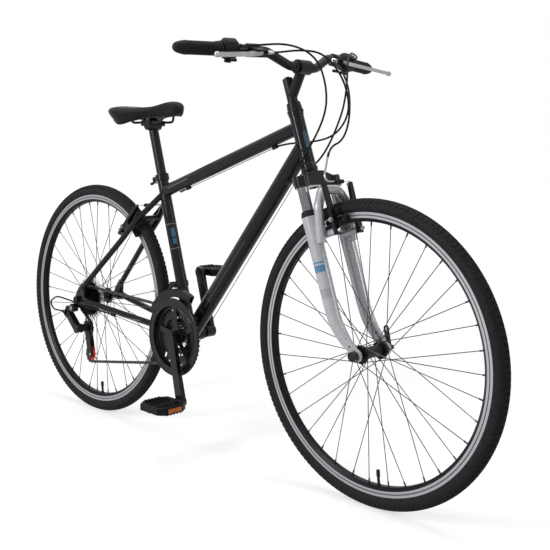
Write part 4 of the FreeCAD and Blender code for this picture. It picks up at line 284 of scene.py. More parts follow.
STAY_MARKS = (
    (BLUE, STAY_SHOWN, (Vector(), X, (-0.352, -0.342)), (STAY_LEVEL, Z, (-0.008, 0.008))),
    ((0.12, 0.125, 0.13), STAY_SHOWN, (Vector(), X, (-0.335, -0.255)), (STAY_LEVEL, Z, (-0.0025, 0.0015))),
)
LEG_FACES = (STEER_FOOT, Y, (0.064, 0.0745), (-0.0745, -0.064))
LEG_MARKS = (
    (BLUE, LEG_FACES, (STEER_FOOT, STEER_UP, (0.198, 0.214), (0.218, 0.222))),
    ((0.27, 0.275, 0.295), LEG_FACES, (STEER_FOOT, STEER_UP, (0.138, 0.160))),
)

# Carried-over solids and their materials
LOOKS = {
    frame_paint("frame_paint"): (
        "bottom_bracket_shell", "seatstays", "dropouts", "frame_braze_ons", "fork_crown",
    ),
    frame_paint("head_tube_paint", HEAD_MARK): ("head_tube",),
    frame_paint("top_tube_paint", TOP_MARK): ("top_tube",),
    frame_paint("down_tube_paint", DOWN_MARK): ("down_tube",),
    frame_paint("seat_tube_paint", *SEAT_MARKS): ("seat_tube",),
    frame_paint("chainstay_paint", *STAY_MARKS): ("chainstays",),
    anodised: (
        "bearing_cups", "headset_nuts", "stem", "handlebar", "seatpost", "front_hub", "rear_hub",
        "front_derailleur_clamp", "front_derailleur_cage", "rear_derailleur_mount", "rear_derailleur_link",
        "rear_derailleur_knuckle", "rear_derailleur_cage",
    ),
    gloss_black: ("crank_left", "crank_right", "chain_guard"),
    satin_black: (
        "front_brake_left", "front_brake_right", "rear_brake_left", "rear_brake_right", "seat_collar",
        "seat_collar_lever", "front_skewer_lever",
    ),
    resin: (
        "control_brackets", "shift_lever_left", "shift_lever_right", "pedal_left", "pedal_right",
        "guide_pulley",
    ),
    red_resin: ("tension_pulley",),
    rubber: ("grips",),
    dark_steel: ("freewheel", "chainrings", "front_axle", "rear_axle", "saddle_rails"),
    spoke_steel: ("front_spokes", "rear_spokes"),
    chrome: ("fork_stanchions",),
    marked(silver, *LEG_MARKS): ("fork_lowers",),
    bright_alloy: ("brake_lever_left", "brake_lever_right"),
    cable_black: ("frame_cables", "control_cables"),
    tyre_rubber: ("front_tyre", "rear_tyre"),
    chain_steel: ("chain",),
    cover: ("saddle",),
    rim_look("front_rim_finish", FRONT_AXLE): ("front_rim",),
    rim_look("rear_rim_finish", REAR_AXLE): ("rear_rim",),
}
for look, names in LOOKS.items():
    for name in names:
        nodes[name].data.materials.clear()
        nodes[name].data.materials.append(look.material)


# Helpers that make pieces
def mesh_of(name, points, faces):
    """A mesh with its faces turned outward."""
    mesh = bpy.data.meshes.new(name)
    mesh.from_pydata([tuple(p) for p in points], [], faces)
    mesh.validate()
    work = bmesh.new()
    work.from_mesh(mesh)
    bmesh.ops.recalc_face_normals(work, faces=work.faces[:])
    work.to_mesh(mesh)
    work.free()
    return mesh


def gather(*parts):
    """Several sets of points and faces as one."""
    points, faces = [], []
    for more_points, more_faces in parts:
        start = len(points)
        points += more_points
        faces += [[start + corner for corner in face] for face in more_faces]
    return points, faces


def fitting(name, parts, look, body, replaces=(), sharp=35.0):
    """A piece made of parts, which rides on a body when one is given and takes a look's finish."""
    mesh = mesh_of(name, *gather(*parts))
    made = bpy.data.objects.new(name, mesh)
    bpy.context.scene.collection.objects.link(made)
    mesh.materials.append(look.material)
    mesh.shade_smooth()
    mesh.set_sharp_from_angle(angle=math.radians(sharp))
    if body:
        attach(made, body)
    if replaces:
        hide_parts(*replaces)
    return made


def side_axes(axis):
    """Two directions square to an axis."""
    first = axis.cross(Z if abs(axis.z) < 0.9 else X).normalized()
    return first, axis.cross(first)


def skin(rings, around=False, closed=True):
    """Points and faces over rings of points, which may go around, with flats on what stays open."""
    count, total = len(rings[0]), len(rings)
    points = [point for ring in rings for point in ring]
    faces = []
    for step in range(total if around else total - 1):
        here, ahead = step * count, (step + 1) % total * count
        for row in range(count if closed else count - 1):
            below = (row + 1) % count
            faces.append((here + row, here + below, ahead + below, ahead + row))
    numbers = list(range(len(points)))
    if not around:
        faces += [numbers[:count], numbers[-count:]]
    if not closed:
        faces += [numbers[::count], numbers[count - 1::count]]
    return points, faces


def lathe(profile, at, axis, steps=48, closed=True):
    """A profile of (along, radius) pairs turned about an axis."""
    axis = axis.normalized()
    first, second = side_axes(axis)
    rings = []
    for step in range(steps):
        angle = FULL_TURN * step / steps
        out = first * math.cos(angle) + second * math.sin(angle)
        rings.append([at + axis * along + out * radius for along, radius in profile])
    return skin(rings, True, closed)


def tube(points, radius, sides=12):
    """A round tube along points, closed at both ends."""
    turns = [FULL_TURN * side / sides for side in range(sides)]
    rings, normal = [], None
    for place, point in enumerate(points):
        along = (points[min(place + 1, len(points) - 1)] - points[max(place - 1, 0)]).normalized()
        normal = normal or side_axes(along)[0]
        normal = (normal - along * normal.dot(along)).normalized()
        across = along.cross(normal)
        rings.append([point + (normal * math.cos(turn) + across * math.sin(turn)) * radius for turn in turns])
    return skin(rings)


def block(middle, size, axes=(X, Y, Z), bevel=0.0009):
    """A block with rounded edges."""
    work = bmesh.new()
    bmesh.ops.create_cube(work, size=1.0)
    for corner in work.verts:
        corner.co = [corner.co[way] * size[way] for way in range(3)]
    bmesh.ops.bevel(work, geom=work.edges[:], offset=bevel, segments=2, affect="EDGES", profile=0.6)
    work.verts.index_update()
    points = [middle + axes[0] * v.co.x + axes[1] * v.co.y + axes[2] * v.co.z for v in work.verts]
    faces = [[v.index for v in face.verts] for face in work.faces]
    work.free()
    return points, faces


def bolt(at, axis, radius, height):
    """A socket bolt's head, standing on a point."""
    profile = [(0, radius), (height * 0.75, radius), (height, radius * 0.82), (height, radius * 0.5),
               (height * 0.4, radius * 0.46), (height * 0.4, radius * 0.05)]
    return lathe(profile, at, axis, 24, closed=False)


def nut(at, axis, radius, height):
    """A six-sided nut with a round stud end."""
    body = [(0, radius), (height * 0.85, radius), (height, radius * 0.86)]
    stud = [(height, radius * 0.5), (height * 1.3, radius * 0.5), (height * 1.4, radius * 0.36)]
    return gather(lathe(body, at, axis, 6, closed=False), lathe(stud, at, axis, 16, closed=False))


def outermost(node, at, axis, reach):
    """The outermost point of a node along an axis, found close to the axis."""
    axis = axis.normalized()
    best = None
    for vertex in nodes[node].data.vertices:
        offset = vertex.co - at
        along = offset.dot(axis)
        if (offset - axis * along).length < reach:
            best = along if best is None else max(best, along)
    return at + axis * (best or 0.0)


def seated_bolt(node, at, axis, reach, size):
    """A bolt's head let a little into the outermost face of a node."""
    return bolt(outermost(node, at, axis, reach) - axis * SINK, axis, *size)


def on_side(spot, side):
    """A point given on the left side, taken to either side."""
    return Vector((spot[0], spot[1] * side, spot[2]))


def smooth_line(points, steps=14):
    """Points along the smooth spline of a route."""
    curve = bpy.data.curves.new("route", "CURVE")
    curve.dimensions = "3D"
    spline = curve.splines.new("NURBS")
    spline.points.add(len(points) - 1)
    for knot, point in zip(spline.points, points):
        knot.co = (*point, 1)
    spline.order_u = 3
    spline.use_endpoint_u = True
    spline.resolution_u = steps
    holder = bpy.data.objects.new("route", curve)
    bpy.context.scene.collection.objects.link(holder)
    bpy.context.view_layer.update()
    mesh = bpy.data.meshes.new_from_object(holder)
    line = [v.co.copy() for v in mesh.vertices]
    bpy.data.objects.remove(holder)
    bpy.data.meshes.remove(mesh)
    bpy.data.curves.remove(curve)
    return line


def islands(node):
    """The separate solids of a node as (middle, points, faces)."""
    work = bmesh.new()
    work.from_mesh(nodes[node].data)
    bmesh.ops.remove_doubles(work, verts=work.verts, dist=1e-6)
    work.faces.ensure_lookup_table()
    seen, found = set(), []
    for seed in work.faces:
        if seed.index in seen:
            continue
        seen.add(seed.index)
        stack, group = [seed], []
        while stack:
            face = stack.pop()
            group.append(face)
            for edge in face.edges:
                for other in edge.link_faces:
                    if other.index not in seen:
                        seen.add(other.index)
                        stack.append(other)
        corners = sorted({v for face in group for v in face.verts}, key=lambda v: v.index)
        order = {v: place for place, v in enumerate(corners)}
        points = [v.co.copy() for v in corners]
        faces = [[order[v] for v in face.verts] for face in group]
        found.append((sum(points, Vector()) / len(points), points, faces))
    work.free()
    return found


# Tyres: a carcass with ribbed sides and rows of raised tread blocks
TYRE_RADIUS, TYRE_SECTION, TYRE_STEPS = 0.348, 0.0185, 200
TREAD_RISE, TREAD_ROOT, TREAD_PITCHES = 0.0016, 0.0004, 156
BEAD_TURN, BEAD_STEP, BEAD_HALF, BEAD_RADIUS = 132, 6, 0.0098, 0.3166
SIDE_RIB, SIDE_RIB_TURNS = 0.0004, (84, 96, 108)
# Tread rows: start and end across the crown in degrees, length and shift as shares of the pitch, and slant
TREAD_ROWS = (
    (2.0, 17.0, 0.66, 0.0, 0.55),
    (20.5, 35.0, 0.58, 0.45, -0.4),
    (39.0, 53.0, 0.5, 0.1, 0.25),
    (56.5, 66.0, 0.42, 0.55, 0.0),
)


def tyre_spot(axle, turn, across, height):
    """A point of the tyre at a turn of the wheel and a turn across its section."""
    reach = TYRE_RADIUS - TYRE_SECTION + height * math.cos(across)
    return axle + Vector((math.cos(turn) * reach, height * math.sin(across), math.sin(turn) * reach))


def tread_block(axle, side, base, row):
    """One tread block, open where it meets the carcass."""
    start, end, length, _, slant = row
    pitch = FULL_TURN / TREAD_PITCHES
    root = TYRE_SECTION - TREAD_RISE - TREAD_ROOT
    points, faces = [], []
    for step in range(4):
        share = step / 3
        across = math.radians(start + (end - start) * share) * side
        lean = slant * pitch * share
        for turn in (base + lean, base + lean + length * pitch):
            points.append(tyre_spot(axle, turn, across, TYRE_SECTION))
            points.append(tyre_spot(axle, turn, across, root))
    for step in range(3):
        a, b = step * 4, step * 4 + 4
        faces += [(a, b, b + 2, a + 2), (a + 1, b + 1, b, a), (a + 2, b + 2, b + 3, a + 3)]
    faces += [(0, 2, 3, 1), (12, 13, 15, 14)]
    return points, faces


def make_tyre(name, node, body, axle):
    profile = []
    for degree in range(-BEAD_TURN, BEAD_TURN + 1, BEAD_STEP):
        across = math.radians(degree)
        height = TYRE_SECTION - TREAD_RISE + (SIDE_RIB if abs(degree) in SIDE_RIB_TURNS else 0.0)
        reach = TYRE_RADIUS - TYRE_SECTION + height * math.cos(across)
        profile.append((height * math.sin(across), reach))
    profile += [(BEAD_HALF, BEAD_RADIUS), (-BEAD_HALF, BEAD_RADIUS)]
    parts = [lathe(profile, axle, Y, TYRE_STEPS)]
    for row in TREAD_ROWS:
        for side in BOTH_SIDES:
            for number in range(TREAD_PITCHES):
                place = number + row[3] + (0.5 if side > 0 else 0.0)
                parts.append(tread_block(axle, side, place * FULL_TURN / TREAD_PITCHES, row))
    fitting(name, parts, tyre_rubber, body, (node,))


make_tyre("front_tyre_tread", "front_tyre", "front_wheel", FRONT_AXLE)
make_tyre("rear_tyre_tread", "rear_tyre", "rear_wheel", REAR_AXLE)

# Control cables: smooth housings from the bar to what they run to, which stay fixed in place
SHIFT_ROUTE = (
    (314.3, 197.6, 1037.5), (343.5, 187.5, 1036.5), (380, 110, 1046), (415, 55, 1018), (430, 36, 950),
    (420, 28, 880), (355, 34, 780), (306.2, 13, 747.2), (287.3, 13, 723.9),
)
SHIFT_TWIN = [on_side(corner, -1) for corner in SHIFT_ROUTE]
# Each: the far body, start and end of the bend in metres, and the route in millimetres
CABLES = {
    "front_brake_cable": ("fork_legs", (0.431, 0.05, 0.90), (0.405, 0.0, 0.815), (
        (323.4, 119.4, 1028.3), (327.6, 99.9, 1028.9), (370, 84, 1005), (410, 70, 950), (431, 46, 875),
        (430, 22, 825), (402.7, 7.1, 811.1), (410.8, -9, 787.2),
    )),
    "rear_brake_cable": ("frame", (0.44, 0.0, 0.96), (0.26, 0.0, 0.825), (
        (323.4, -119.4, 1028.3), (327.6, -99.9, 1028.9), (367, -60, 1036), (405, -25, 1030), (433, 0, 990),
        (445, 18, 945), (435, 40, 890), (390, 48, 842), (333, 42, 824), (257.9, 0, 819.4), (229.5, 0, 809.8),
    )),
    "front_shift_cable": ("frame", (0.43, 0.03, 0.97), (0.31, 0.03, 0.755), SHIFT_ROUTE),
    "rear_shift_cable": ("frame", (0.43, -0.03, 0.97), (0.31, -0.03, 0.755), SHIFT_TWIN),
}
MILLIMETRES = 1000
HOUSING_RADIUS, WIRE_HOLE = 0.0024, 0.0005
FERRULE_RADIUS, FERRULE_LENGTH = 0.003, 0.012
FERRULE = [(0, WIRE_HOLE), (0, FERRULE_RADIUS), (FERRULE_LENGTH, FERRULE_RADIUS), (FERRULE_LENGTH, WIRE_HOLE)]
for name, (far, start, end, corners) in CABLES.items():
    line = smooth_line([Vector(c) / MILLIMETRES for c in corners])
    ends = [lathe(FERRULE, line[0], line[1] - line[0], 20), lathe(FERRULE, line[-1], line[-2] - line[-1], 20)]
    made = fitting(name, [tube(line, HOUSING_RADIUS), *ends], cable_black, None, ("control_cables",))
    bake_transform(made)

# Chain: the links of the solid chain in runs; a run with one holder rides on it, and a run between two
# holders stays fixed in place
PULLEY_REACH, WRAP_REACH, WRAP_TOP, WRAP_END = 0.031, 0.040, 0.026, 0.012
SWING_RUN = 0.09
UPPER_REAR, UPPER_FRONT, UPPER_LOW, CHANGER_REAR = -0.45, -0.02, 0.33, -0.13
LEAVE_SPROCKET, MEET_GUIDE = REAR_AXLE.z - 0.042, GUIDE.z + 0.02
LEAVE_RING, MEET_TENSION = CRANK_MIDDLE.x - 0.02, TENSION.x + 0.01
SWING_AT = TENSION.x + SWING_RUN
CHAIN_RUNS = {
    "chain_drive": ("frame",),
    "chain_in_changer": ("frame", "changer", (-0.075, 0, 0), (-0.125, 0, 0)),
    "chain_upper_run": ("changer", "frame", (-0.21, 0, 0), (-0.42, 0, 0)),
    "chain_upper_guide": ("frame", "mech_knuckle", (0, 0, LEAVE_SPROCKET), (0, 0, MEET_GUIDE)),
    "chain_guide_wrap": ("mech_knuckle", "mech_cage", (0, 0, GUIDE.z + WRAP_TOP), (0, 0, GUIDE.z + WRAP_END)),
    "chain_on_cage": ("mech_cage",),
    "chain_lower_run": ("frame", "mech_knuckle", (LEAVE_RING, 0, 0), (SWING_AT, 0, 0)),
    "chain_cage_run": ("mech_knuckle", "mech_cage", (SWING_AT, 0, 0), (MEET_TENSION, 0, 0)),
}


def chain_home(middle):
    """The run that a link belongs to."""
    near_guide = math.hypot(middle.x - GUIDE.x, middle.z - GUIDE.z)
    near_tension = math.hypot(middle.x - TENSION.x, middle.z - TENSION.z)
    if near_guide < WRAP_REACH and middle.z < GUIDE.z + WRAP_TOP:
        return "chain_guide_wrap"
    if near_tension < PULLEY_REACH:
        return "chain_on_cage"
    if TENSION.z < middle.z < GUIDE.z and abs(middle.x - (GUIDE.x + TENSION.x) / 2) < PULLEY_REACH:
        return "chain_on_cage"
    if middle.z < GUIDE.z and middle.x < CRANK_MIDDLE.x:
        return "chain_cage_run" if middle.x < SWING_AT else "chain_lower_run"
    if middle.x < GUIDE.x + PULLEY_REACH and GUIDE.z < middle.z < REAR_AXLE.z - PULLEY_REACH:
        return "chain_upper_guide"
    if UPPER_REAR < middle.x < UPPER_FRONT and middle.z > UPPER_LOW:
        return "chain_in_changer" if middle.x > CHANGER_REAR else "chain_upper_run"
    return "chain_drive"


homes = {name: [] for name in CHAIN_RUNS}
for middle, points, faces in islands("chain"):
    homes[chain_home(middle)].append((points, faces))
for name, (first, *rest) in CHAIN_RUNS.items():
    made = fitting(name, homes[name], chain_steel, None if rest else first, ("chain",))
    if rest:
        second, start, end = rest
        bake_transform(made)

# Saddle: a padded cover over a hollow shell, with a piped seam and the shell's edge below
SADDLE_REAR, SADDLE_LENGTH, SADDLE_LOW = -0.4076, 0.276, 0.8771
SADDLE_HALF, SADDLE_DEPTH = 0.082, 0.062
# Stations: share along, half width, crown, brim and skirt heights as shares
SADDLE_STATIONS = (
    (0, 0.56, 0.83, 0.70, 0.50), (0.09, 0.86, 0.90, 0.62, 0.26), (0.22, 0.97, 0.88, 0.55, 0.0),
    (0.40, 0.80, 0.82, 0.54, 0.14), (0.60, 0.47, 0.83, 0.60, 0.30), (0.82, 0.29, 1.0, 0.76, 0.36),
    (0.95, 0.24, 0.95, 0.72, 0.34), (1.0, 0.15, 0.78, 0.66, 0.46),
)
SADDLE_STEPS, TOP_STEPS, SKIRT_STEPS, ROOF_STEPS, LINE_STEPS = 44, 24, 5, 12, 60
NOSE_ROUND, REAR_ROUND, END_DRAW = 0.075, 0.03, 0.25
SKIRT_LIFT, WAIST_SHARE, SKIRT_BULGE, CROWN_POWER = 0.001, 0.72, 0.98, 0.8
HOLLOW_REAR, HOLLOW_REAR_RUN, HOLLOW_NOSE, HOLLOW_NOSE_RUN = 0.05, 0.12, 0.93, 0.1
SHELL_WALL, ROOF_SHARE = 0.004, 0.8
TROUGH_DEPTH, TROUGH_AT, TROUGH_RUN, TROUGH_WIDTH = 0.004, 0.42, 0.4, 0.22
# Places round the section of the two seams and the two shell edges
SEAM_PLACES, EDGE_PLACES = (4, 20), (29, 43)
SEAM_RADIUS, SEAM_OUT, SEAM_RUN = 0.0009, 0.0002, (0.035, 0.92)
EDGE_RADIUS, EDGE_OUT, EDGE_RUN = 0.0019, -0.001, (0.06, 0.92)


def saddle_at(share):
    """The half width and heights between the stations, each on a smooth line."""
    table = SADDLE_STATIONS
    final = len(table) - 2
    place = next(i for i in range(final + 1) if share <= table[i + 1][0] or i == final)
    low, high = table[place], table[place + 1]
    before, after = table[max(place - 1, 0)], table[min(place + 2, final + 1)]
    span = high[0] - low[0]
    part = (share - low[0]) / span
    square, cube = part ** 2, part ** 3
    values = []
    for column in range(1, len(low)):
        first = (high[column] - before[column]) / (high[0] - before[0])
        last = (after[column] - low[column]) / (after[0] - low[0])
        ends = (2 * cube - 3 * square + 1) * low[column] + (3 * square - 2 * cube) * high[column]
        values.append(ends + (cube - 2 * square + part) * span * first + (cube - square) * span * last)
    return values


def saddle_section(share):
    """The loop of a cross section: over the top, down the skirt and back under the hollow shell."""
    half, *heights = saddle_at(share)
    half *= SADDLE_HALF
    crown, brim, low = [SADDLE_LOW + height * SADDLE_DEPTH for height in heights]
    low += SKIRT_LIFT
    waist = half * WAIST_SHARE
    rear_open, nose_open = (share - HOLLOW_REAR) / HOLLOW_REAR_RUN, (HOLLOW_NOSE - share) / HOLLOW_NOSE_RUN
    hollow = max(0.0, min(1.0, rear_open, nose_open))
    roof = low + (brim - SHELL_WALL - low) * hollow * ROOF_SHARE
    trough = TROUGH_DEPTH * max(0.0, 1 - abs(share - TROUGH_AT) / TROUGH_RUN)
    top, skirt, under = [], [], []
    for step in range(TOP_STEPS + 1):
        turn = math.radians(90 - 180 * step / TOP_STEPS)
        across = math.sin(turn)
        dip = trough * math.exp(-(across / TROUGH_WIDTH) ** 2)
        top.append((half * across, brim + (crown - brim) * math.cos(turn) ** CROWN_POWER - dip))
    for step in range(1, SKIRT_STEPS + 1):
        part = step / SKIRT_STEPS
        out = half * (1 - part) ** 2 + 2 * half * SKIRT_BULGE * part * (1 - part) + waist * part ** 2
        skirt.append((out, brim + (low - brim) * part))
    for step in range(ROOF_STEPS + 1):
        part = 2 * step / ROOF_STEPS - 1
        arch = math.sqrt(max(0.0, 1 - part * part))
        under.append((part * (waist - SHELL_WALL), low + (roof - low) * arch))
    return top + [(-out, height) for out, height in skirt] + under + skirt[::-1]


def saddle_shape():
    rings = []
    for step in range(SADDLE_STEPS + 1):
        share = 0.5 - 0.5 * math.cos(math.pi * step / SADDLE_STEPS)
        along = SADDLE_REAR + share * SADDLE_LENGTH
        loop = saddle_section(share)
        middle = sum(z for y, z in loop) / len(loop)
        past = max(0.0, (share - 1 + NOSE_ROUND) / NOSE_ROUND, (REAR_ROUND - share) / REAR_ROUND)
        draw = max(END_DRAW, math.sqrt(max(0.0, 1 - past * past)))
        rings.append([Vector((along, y * draw, middle + (z - middle) * draw)) for y, z in loop])
    return skin(rings)


def saddle_line(place, out, start, end):
    """Points along one place of the section, from the rear to the nose."""
    line = []
    for step in range(LINE_STEPS + 1):
        share = start + (end - start) * step / LINE_STEPS
        y, z = saddle_section(share)[place]
        line.append(Vector((SADDLE_REAR + share * SADDLE_LENGTH, y + math.copysign(out, y), z)))
    return line


padding = fitting("saddle_cover", [saddle_shape()], cover, None, sharp=80.0)
rounding = padding.modifiers.new("rounding", "SUBSURF")
rounding.levels = rounding.render_levels = 1
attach(padding, "seat")
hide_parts("saddle")
seams = [tube(saddle_line(place, SEAM_OUT, *SEAM_RUN), SEAM_RADIUS, sides=8) for place in SEAM_PLACES]
fitting("saddle_seams", seams, cover, "seat")
edges = [tube(saddle_line(place, EDGE_OUT, *EDGE_RUN), EDGE_RADIUS, sides=10) for place in EDGE_PLACES]
fitting("saddle_shell_edge", edges, resin, "seat")

# Grips: a bullet end, rings and a collar, moulded in rubber
GRIP_TIP = Vector((0.25503, 0.338, 1.02682))
BAR_RISE = Vector((0.30403, 0.110, 1.03382))
GRIP_PAST, GRIP_LENGTH, GRIP_BORE = 0.0075, 0.1195, 0.0113
GRIP_RINGS, RING_START, RING_PITCH, RING_ROOT, RING_TOP = 15, 0.033, 0.0047, 0.0150, 0.0160
RING_EDGES = ((0, RING_ROOT), (0.0008, RING_TOP), (0.0034, RING_TOP), (0.0042, RING_ROOT))
GRIP_END = [
    (0.0, 0.0025), (0.0006, 0.0055), (0.003, 0.0088), (0.008, 0.0118), (0.016, 0.0142), (0.025, 0.0158),
    (0.029, 0.0165), (0.0305, 0.0165), (0.0315, RING_ROOT),
]
GRIP_COLLAR = [
    (0.105, RING_ROOT), (0.106, 0.0172), (0.1095, 0.0176), (0.1105, 0.0162), (0.113, 0.0162),
    (0.114, 0.0184), (0.1185, 0.0186), (GRIP_LENGTH, 0.0175), (GRIP_LENGTH, GRIP_BORE), (0.030, GRIP_BORE),
]
grip = list(GRIP_END)
for ring in range(GRIP_RINGS):
    grip += [(RING_START + ring * RING_PITCH + along, radius) for along, radius in RING_EDGES]
grip += GRIP_COLLAR
mouldings = []
for side in BOTH_SIDES:
    tip = on_side(GRIP_TIP, side)
    inward = (on_side(BAR_RISE, side) - tip).normalized()
    mouldings.append(lathe(grip, tip - inward * GRIP_PAST, inward, 40, closed=False))
fitting("grip_mouldings", mouldings, rubber, "steering", ("grips",))

# Fork: wiper seals on the lower legs and plugs on the crown
LEG_TOP, LEG_AHEAD, LEG_SIDE, CROWN_HEIGHT = 0.330, 0.015, 0.057, 0.42
NEAR_AXIS = 0.006
# Radius and height, as for the bolts and nuts further on
PLUG = (0.0115, 0.004)
SEAL = [
    (-0.0015, 0.0190), (0.0035, 0.0190), (0.0045, 0.0180), (0.0095, 0.0172), (0.0125, 0.0152),
    (0.0135, 0.0133), (-0.0015, 0.0133),
]
seals, plugs = [], []
for side in BOTH_SIDES:
    seals.append(lathe(SEAL, on_steer(LEG_TOP, LEG_AHEAD, side * LEG_SIDE), STEER_UP, 40))
    crown = outermost("fork_crown", on_steer(CROWN_HEIGHT, LEG_AHEAD, side * LEG_SIDE), STEER_UP, NEAR_AXIS)
    plugs.append(bolt(crown, STEER_UP, *PLUG))
fitting("fork_wipers", seals, rubber, "fork_legs")
fitting("fork_plugs", plugs, resin, "steering")

# Wheels: valves and the clear disc behind the sprockets
VALVE_TURN, VALVE_RADIUS, DISC_SIDE = math.radians(-85), 0.2958, 0.0272
VALVE = [
    (0, 0.0046), (0.003, 0.0046), (0.0035, 0.0033), (0.019, 0.0033), (0.0195, 0.0043), (0.033, 0.0043),
    (0.034, 0.0034),
]
DISC = [
    (-0.0006, 0.024), (-0.0006, 0.058), (0.0008, 0.061), (0.0008, 0.067), (0.0018, 0.067), (0.0018, 0.0605),
    (0.0006, 0.0575), (0.0006, 0.024),
]
outward = Vector((math.cos(VALVE_TURN), 0, math.sin(VALVE_TURN)))
for end, axle in (("front", FRONT_AXLE), ("rear", REAR_AXLE)):
    valve = lathe(VALVE, axle + outward * VALVE_RADIUS, -outward, 20, closed=False)
    fitting(end + "_valve", [valve], rubber, end + "_wheel")
fitting("spoke_guard", [lathe(DISC, REAR_AXLE - Y * DISC_SIDE, Y, 72)], clear, "rear_wheel")

# Pedals: a moulded cage on a barrel, ribs with grip teeth, and amber reflectors in plain frames
PEDAL_OUTLINE = ((-1, -0.6), (-0.72, -1), (0.72, -1), (1, -0.6), (1, 0.6), (0.72, 1), (-0.72, 1), (-1, 0.6))
PEDAL_HALF, PEDAL_WIDE, PEDAL_WALL, PEDAL_SIDE = 0.049, 0.046, 0.010, 0.1528
END_RISE, OUTER_RISE, INNER_RISE, CAGE_CHAMFER = 0.0098, 0.0088, 0.0105, 0.0016
PEDAL_BARREL = [
    (-0.0458, 0.0056), (-0.0458, 0.0095), (-0.044, 0.0112), (-0.030, 0.0112), (-0.026, 0.0092),
    (0.030, 0.0088), (0.040, 0.0098), (0.045, 0.0098), (0.0458, 0.0085), (0.0458, 0.0056),
]
RIB_REACHES, RIB_SIZE = (0.016, 0.027), (0.0042, PEDAL_WIDE * 2 - 0.014, 0.013)
TOOTH_PITCH, RIB_TOOTH, RIB_TOOTH_RISE = 0.0105, (0.0036, 0.005, 0.0034), 0.0072
END_TOOTH, END_TOOTH_RISE, END_TOOTH_BACK = (0.006, 0.0055, 0.0032), 0.0103, 0.005
LENS, LEVEL_BAR, UPRIGHT_BAR = (0.003, 0.044, 0.0115), (0.0028, 0.049, 0.0022), (0.0028, 0.0022, 0.0155)
LENS_RISE, LENS_WIDE, BAR_BEVEL = 0.0069, 0.0234, 0.0006


def cage(middle, outline, heights):
    """A closed rail along an outline in the level plane, its half height set at each corner."""
    corners = [Vector((*corner, 0)) for corner in outline]
    inner = PEDAL_WALL - CAGE_CHAMFER
    rings = []
    for place, half in enumerate(heights):
        here = corners[place]
        back = (here - corners[place - 1]).normalized()
        ahead = (corners[(place + 1) % len(corners)] - here).normalized()
        inward = (Z.cross(back) + Z.cross(ahead)).normalized()
        inward /= max(0.5, inward.dot(Z.cross(ahead)))
        edge = half - CAGE_CHAMFER
        upper = [(0, edge), (CAGE_CHAMFER, half), (inner, half), (PEDAL_WALL, edge)]
        lower = [(depth, -lift) for depth, lift in reversed(upper)]
        rings.append([middle + here + inward * depth + Z * lift for depth, lift in upper + lower])
    return skin(rings, around=True)


def teeth(start, count, size, rise):
    """A row of grip teeth along Y, above and below."""
    return [block(start + Y * tooth * TOOTH_PITCH + Z * lift * rise, size)
            for tooth in range(-count, count + 1) for lift in BOTH_SIDES]


for name, side in (("right", -1), ("left", 1)):
    body = name + "_pedal"
    spindle = joint_at(body + "_spin")
    middle = Vector((spindle.x, side * PEDAL_SIDE, spindle.z))
    outline = [(along * PEDAL_HALF, wide * PEDAL_WIDE) for along, wide in PEDAL_OUTLINE]
    rises = {-side: INNER_RISE, side: OUTER_RISE}
    heights = [rises.get(wide, END_RISE) for _, wide in PEDAL_OUTLINE]
    parts = [cage(middle, outline, heights), lathe(PEDAL_BARREL, middle, Y * side, 32)]
    lenses, frames = [], []
    for way in BOTH_SIDES:
        for reach in RIB_REACHES:
            rib = middle + X * way * reach
            parts += [block(rib, RIB_SIZE), *teeth(rib, 3, RIB_TOOTH, RIB_TOOTH_RISE)]
        parts += teeth(middle + X * way * (PEDAL_HALF - END_TOOTH_BACK), 2, END_TOOTH, END_TOOTH_RISE)
        front = middle + X * way * PEDAL_HALF
        lenses.append(block(front, LENS))
        for edge in BOTH_SIDES:
            frames.append(block(front + Z * edge * LENS_RISE, LEVEL_BAR, bevel=BAR_BEVEL))
            frames.append(block(front + Y * edge * LENS_WIDE, UPRIGHT_BAR, bevel=BAR_BEVEL))
    fitting(name + "_pedal_cage", parts, resin, body, ("pedal_" + name,))
    fitting(name + "_pedal_reflectors", lenses, amber, body)
    fitting(name + "_pedal_frames", frames, resin, body)

# Brakes: pivot bolts, pad nuts with washers, cable anchors and the bare wire between the arms
# Each: the body, its side, the way its face looks, its outer side and its cable anchor
REAR_FACE = Z - X
ARMS = {
    "front_brake_left": ("front_arm_left", 1, STEER_AHEAD, 0.0525, (0.4302, 0.0423, 0.7225)),
    "front_brake_right": ("front_arm_right", -1, STEER_AHEAD, 0.0525, None),
    "rear_brake_left": ("rear_arm_left", 1, REAR_FACE, 0.0535, None),
    "rear_brake_right": ("rear_arm_right", -1, REAR_FACE, 0.0535, (-0.2755, 0.0433, 0.6395)),
}
PAD_LIFT, PAD_BACK, ARM_MIDDLE = 0.027, 0.0055, 0.0045
PIVOT_RISE, PIVOT_BOLT = 0.0088, (0.0056, 0.0085)
PAD_NUT_OUT, PAD_NUT = 0.0014, (0.0044, 0.0045)
PAD_WASHER = [(0, 0.0058), (0.0016, 0.0058), (0.0016, 0.001), (0, 0.001)]
ANCHOR_REACH, ANCHOR_BOLT = 0.005, (0.0052, 0.004)
PAD_REACH, PAD_SIDE = 0.036, 0.0322
# Ends of the boots across the bike, and where the bent pipes start
FRONT_BOOT, REAR_BOOT, FRONT_PIPE, REAR_PIPE, REAR_PIPE_LOW = 0.0075, 0.008, 0.7298, -0.2699, 0.62
# Places of the two added materials on an arm
BRIGHT_PLACE, RUBBER_PLACE = 1, 2


def arm_frame(node, face):
    """An arm's pivot, its axis pointing away from the frame, and the way up the arm."""
    axis = Vector(joints[node]["axis"]).normalized()
    if axis.dot(face) < 0:
        axis = -axis
    lift = axis.cross(Y)
    return joint_at(node), axis, lift if lift.z > 0 else -lift


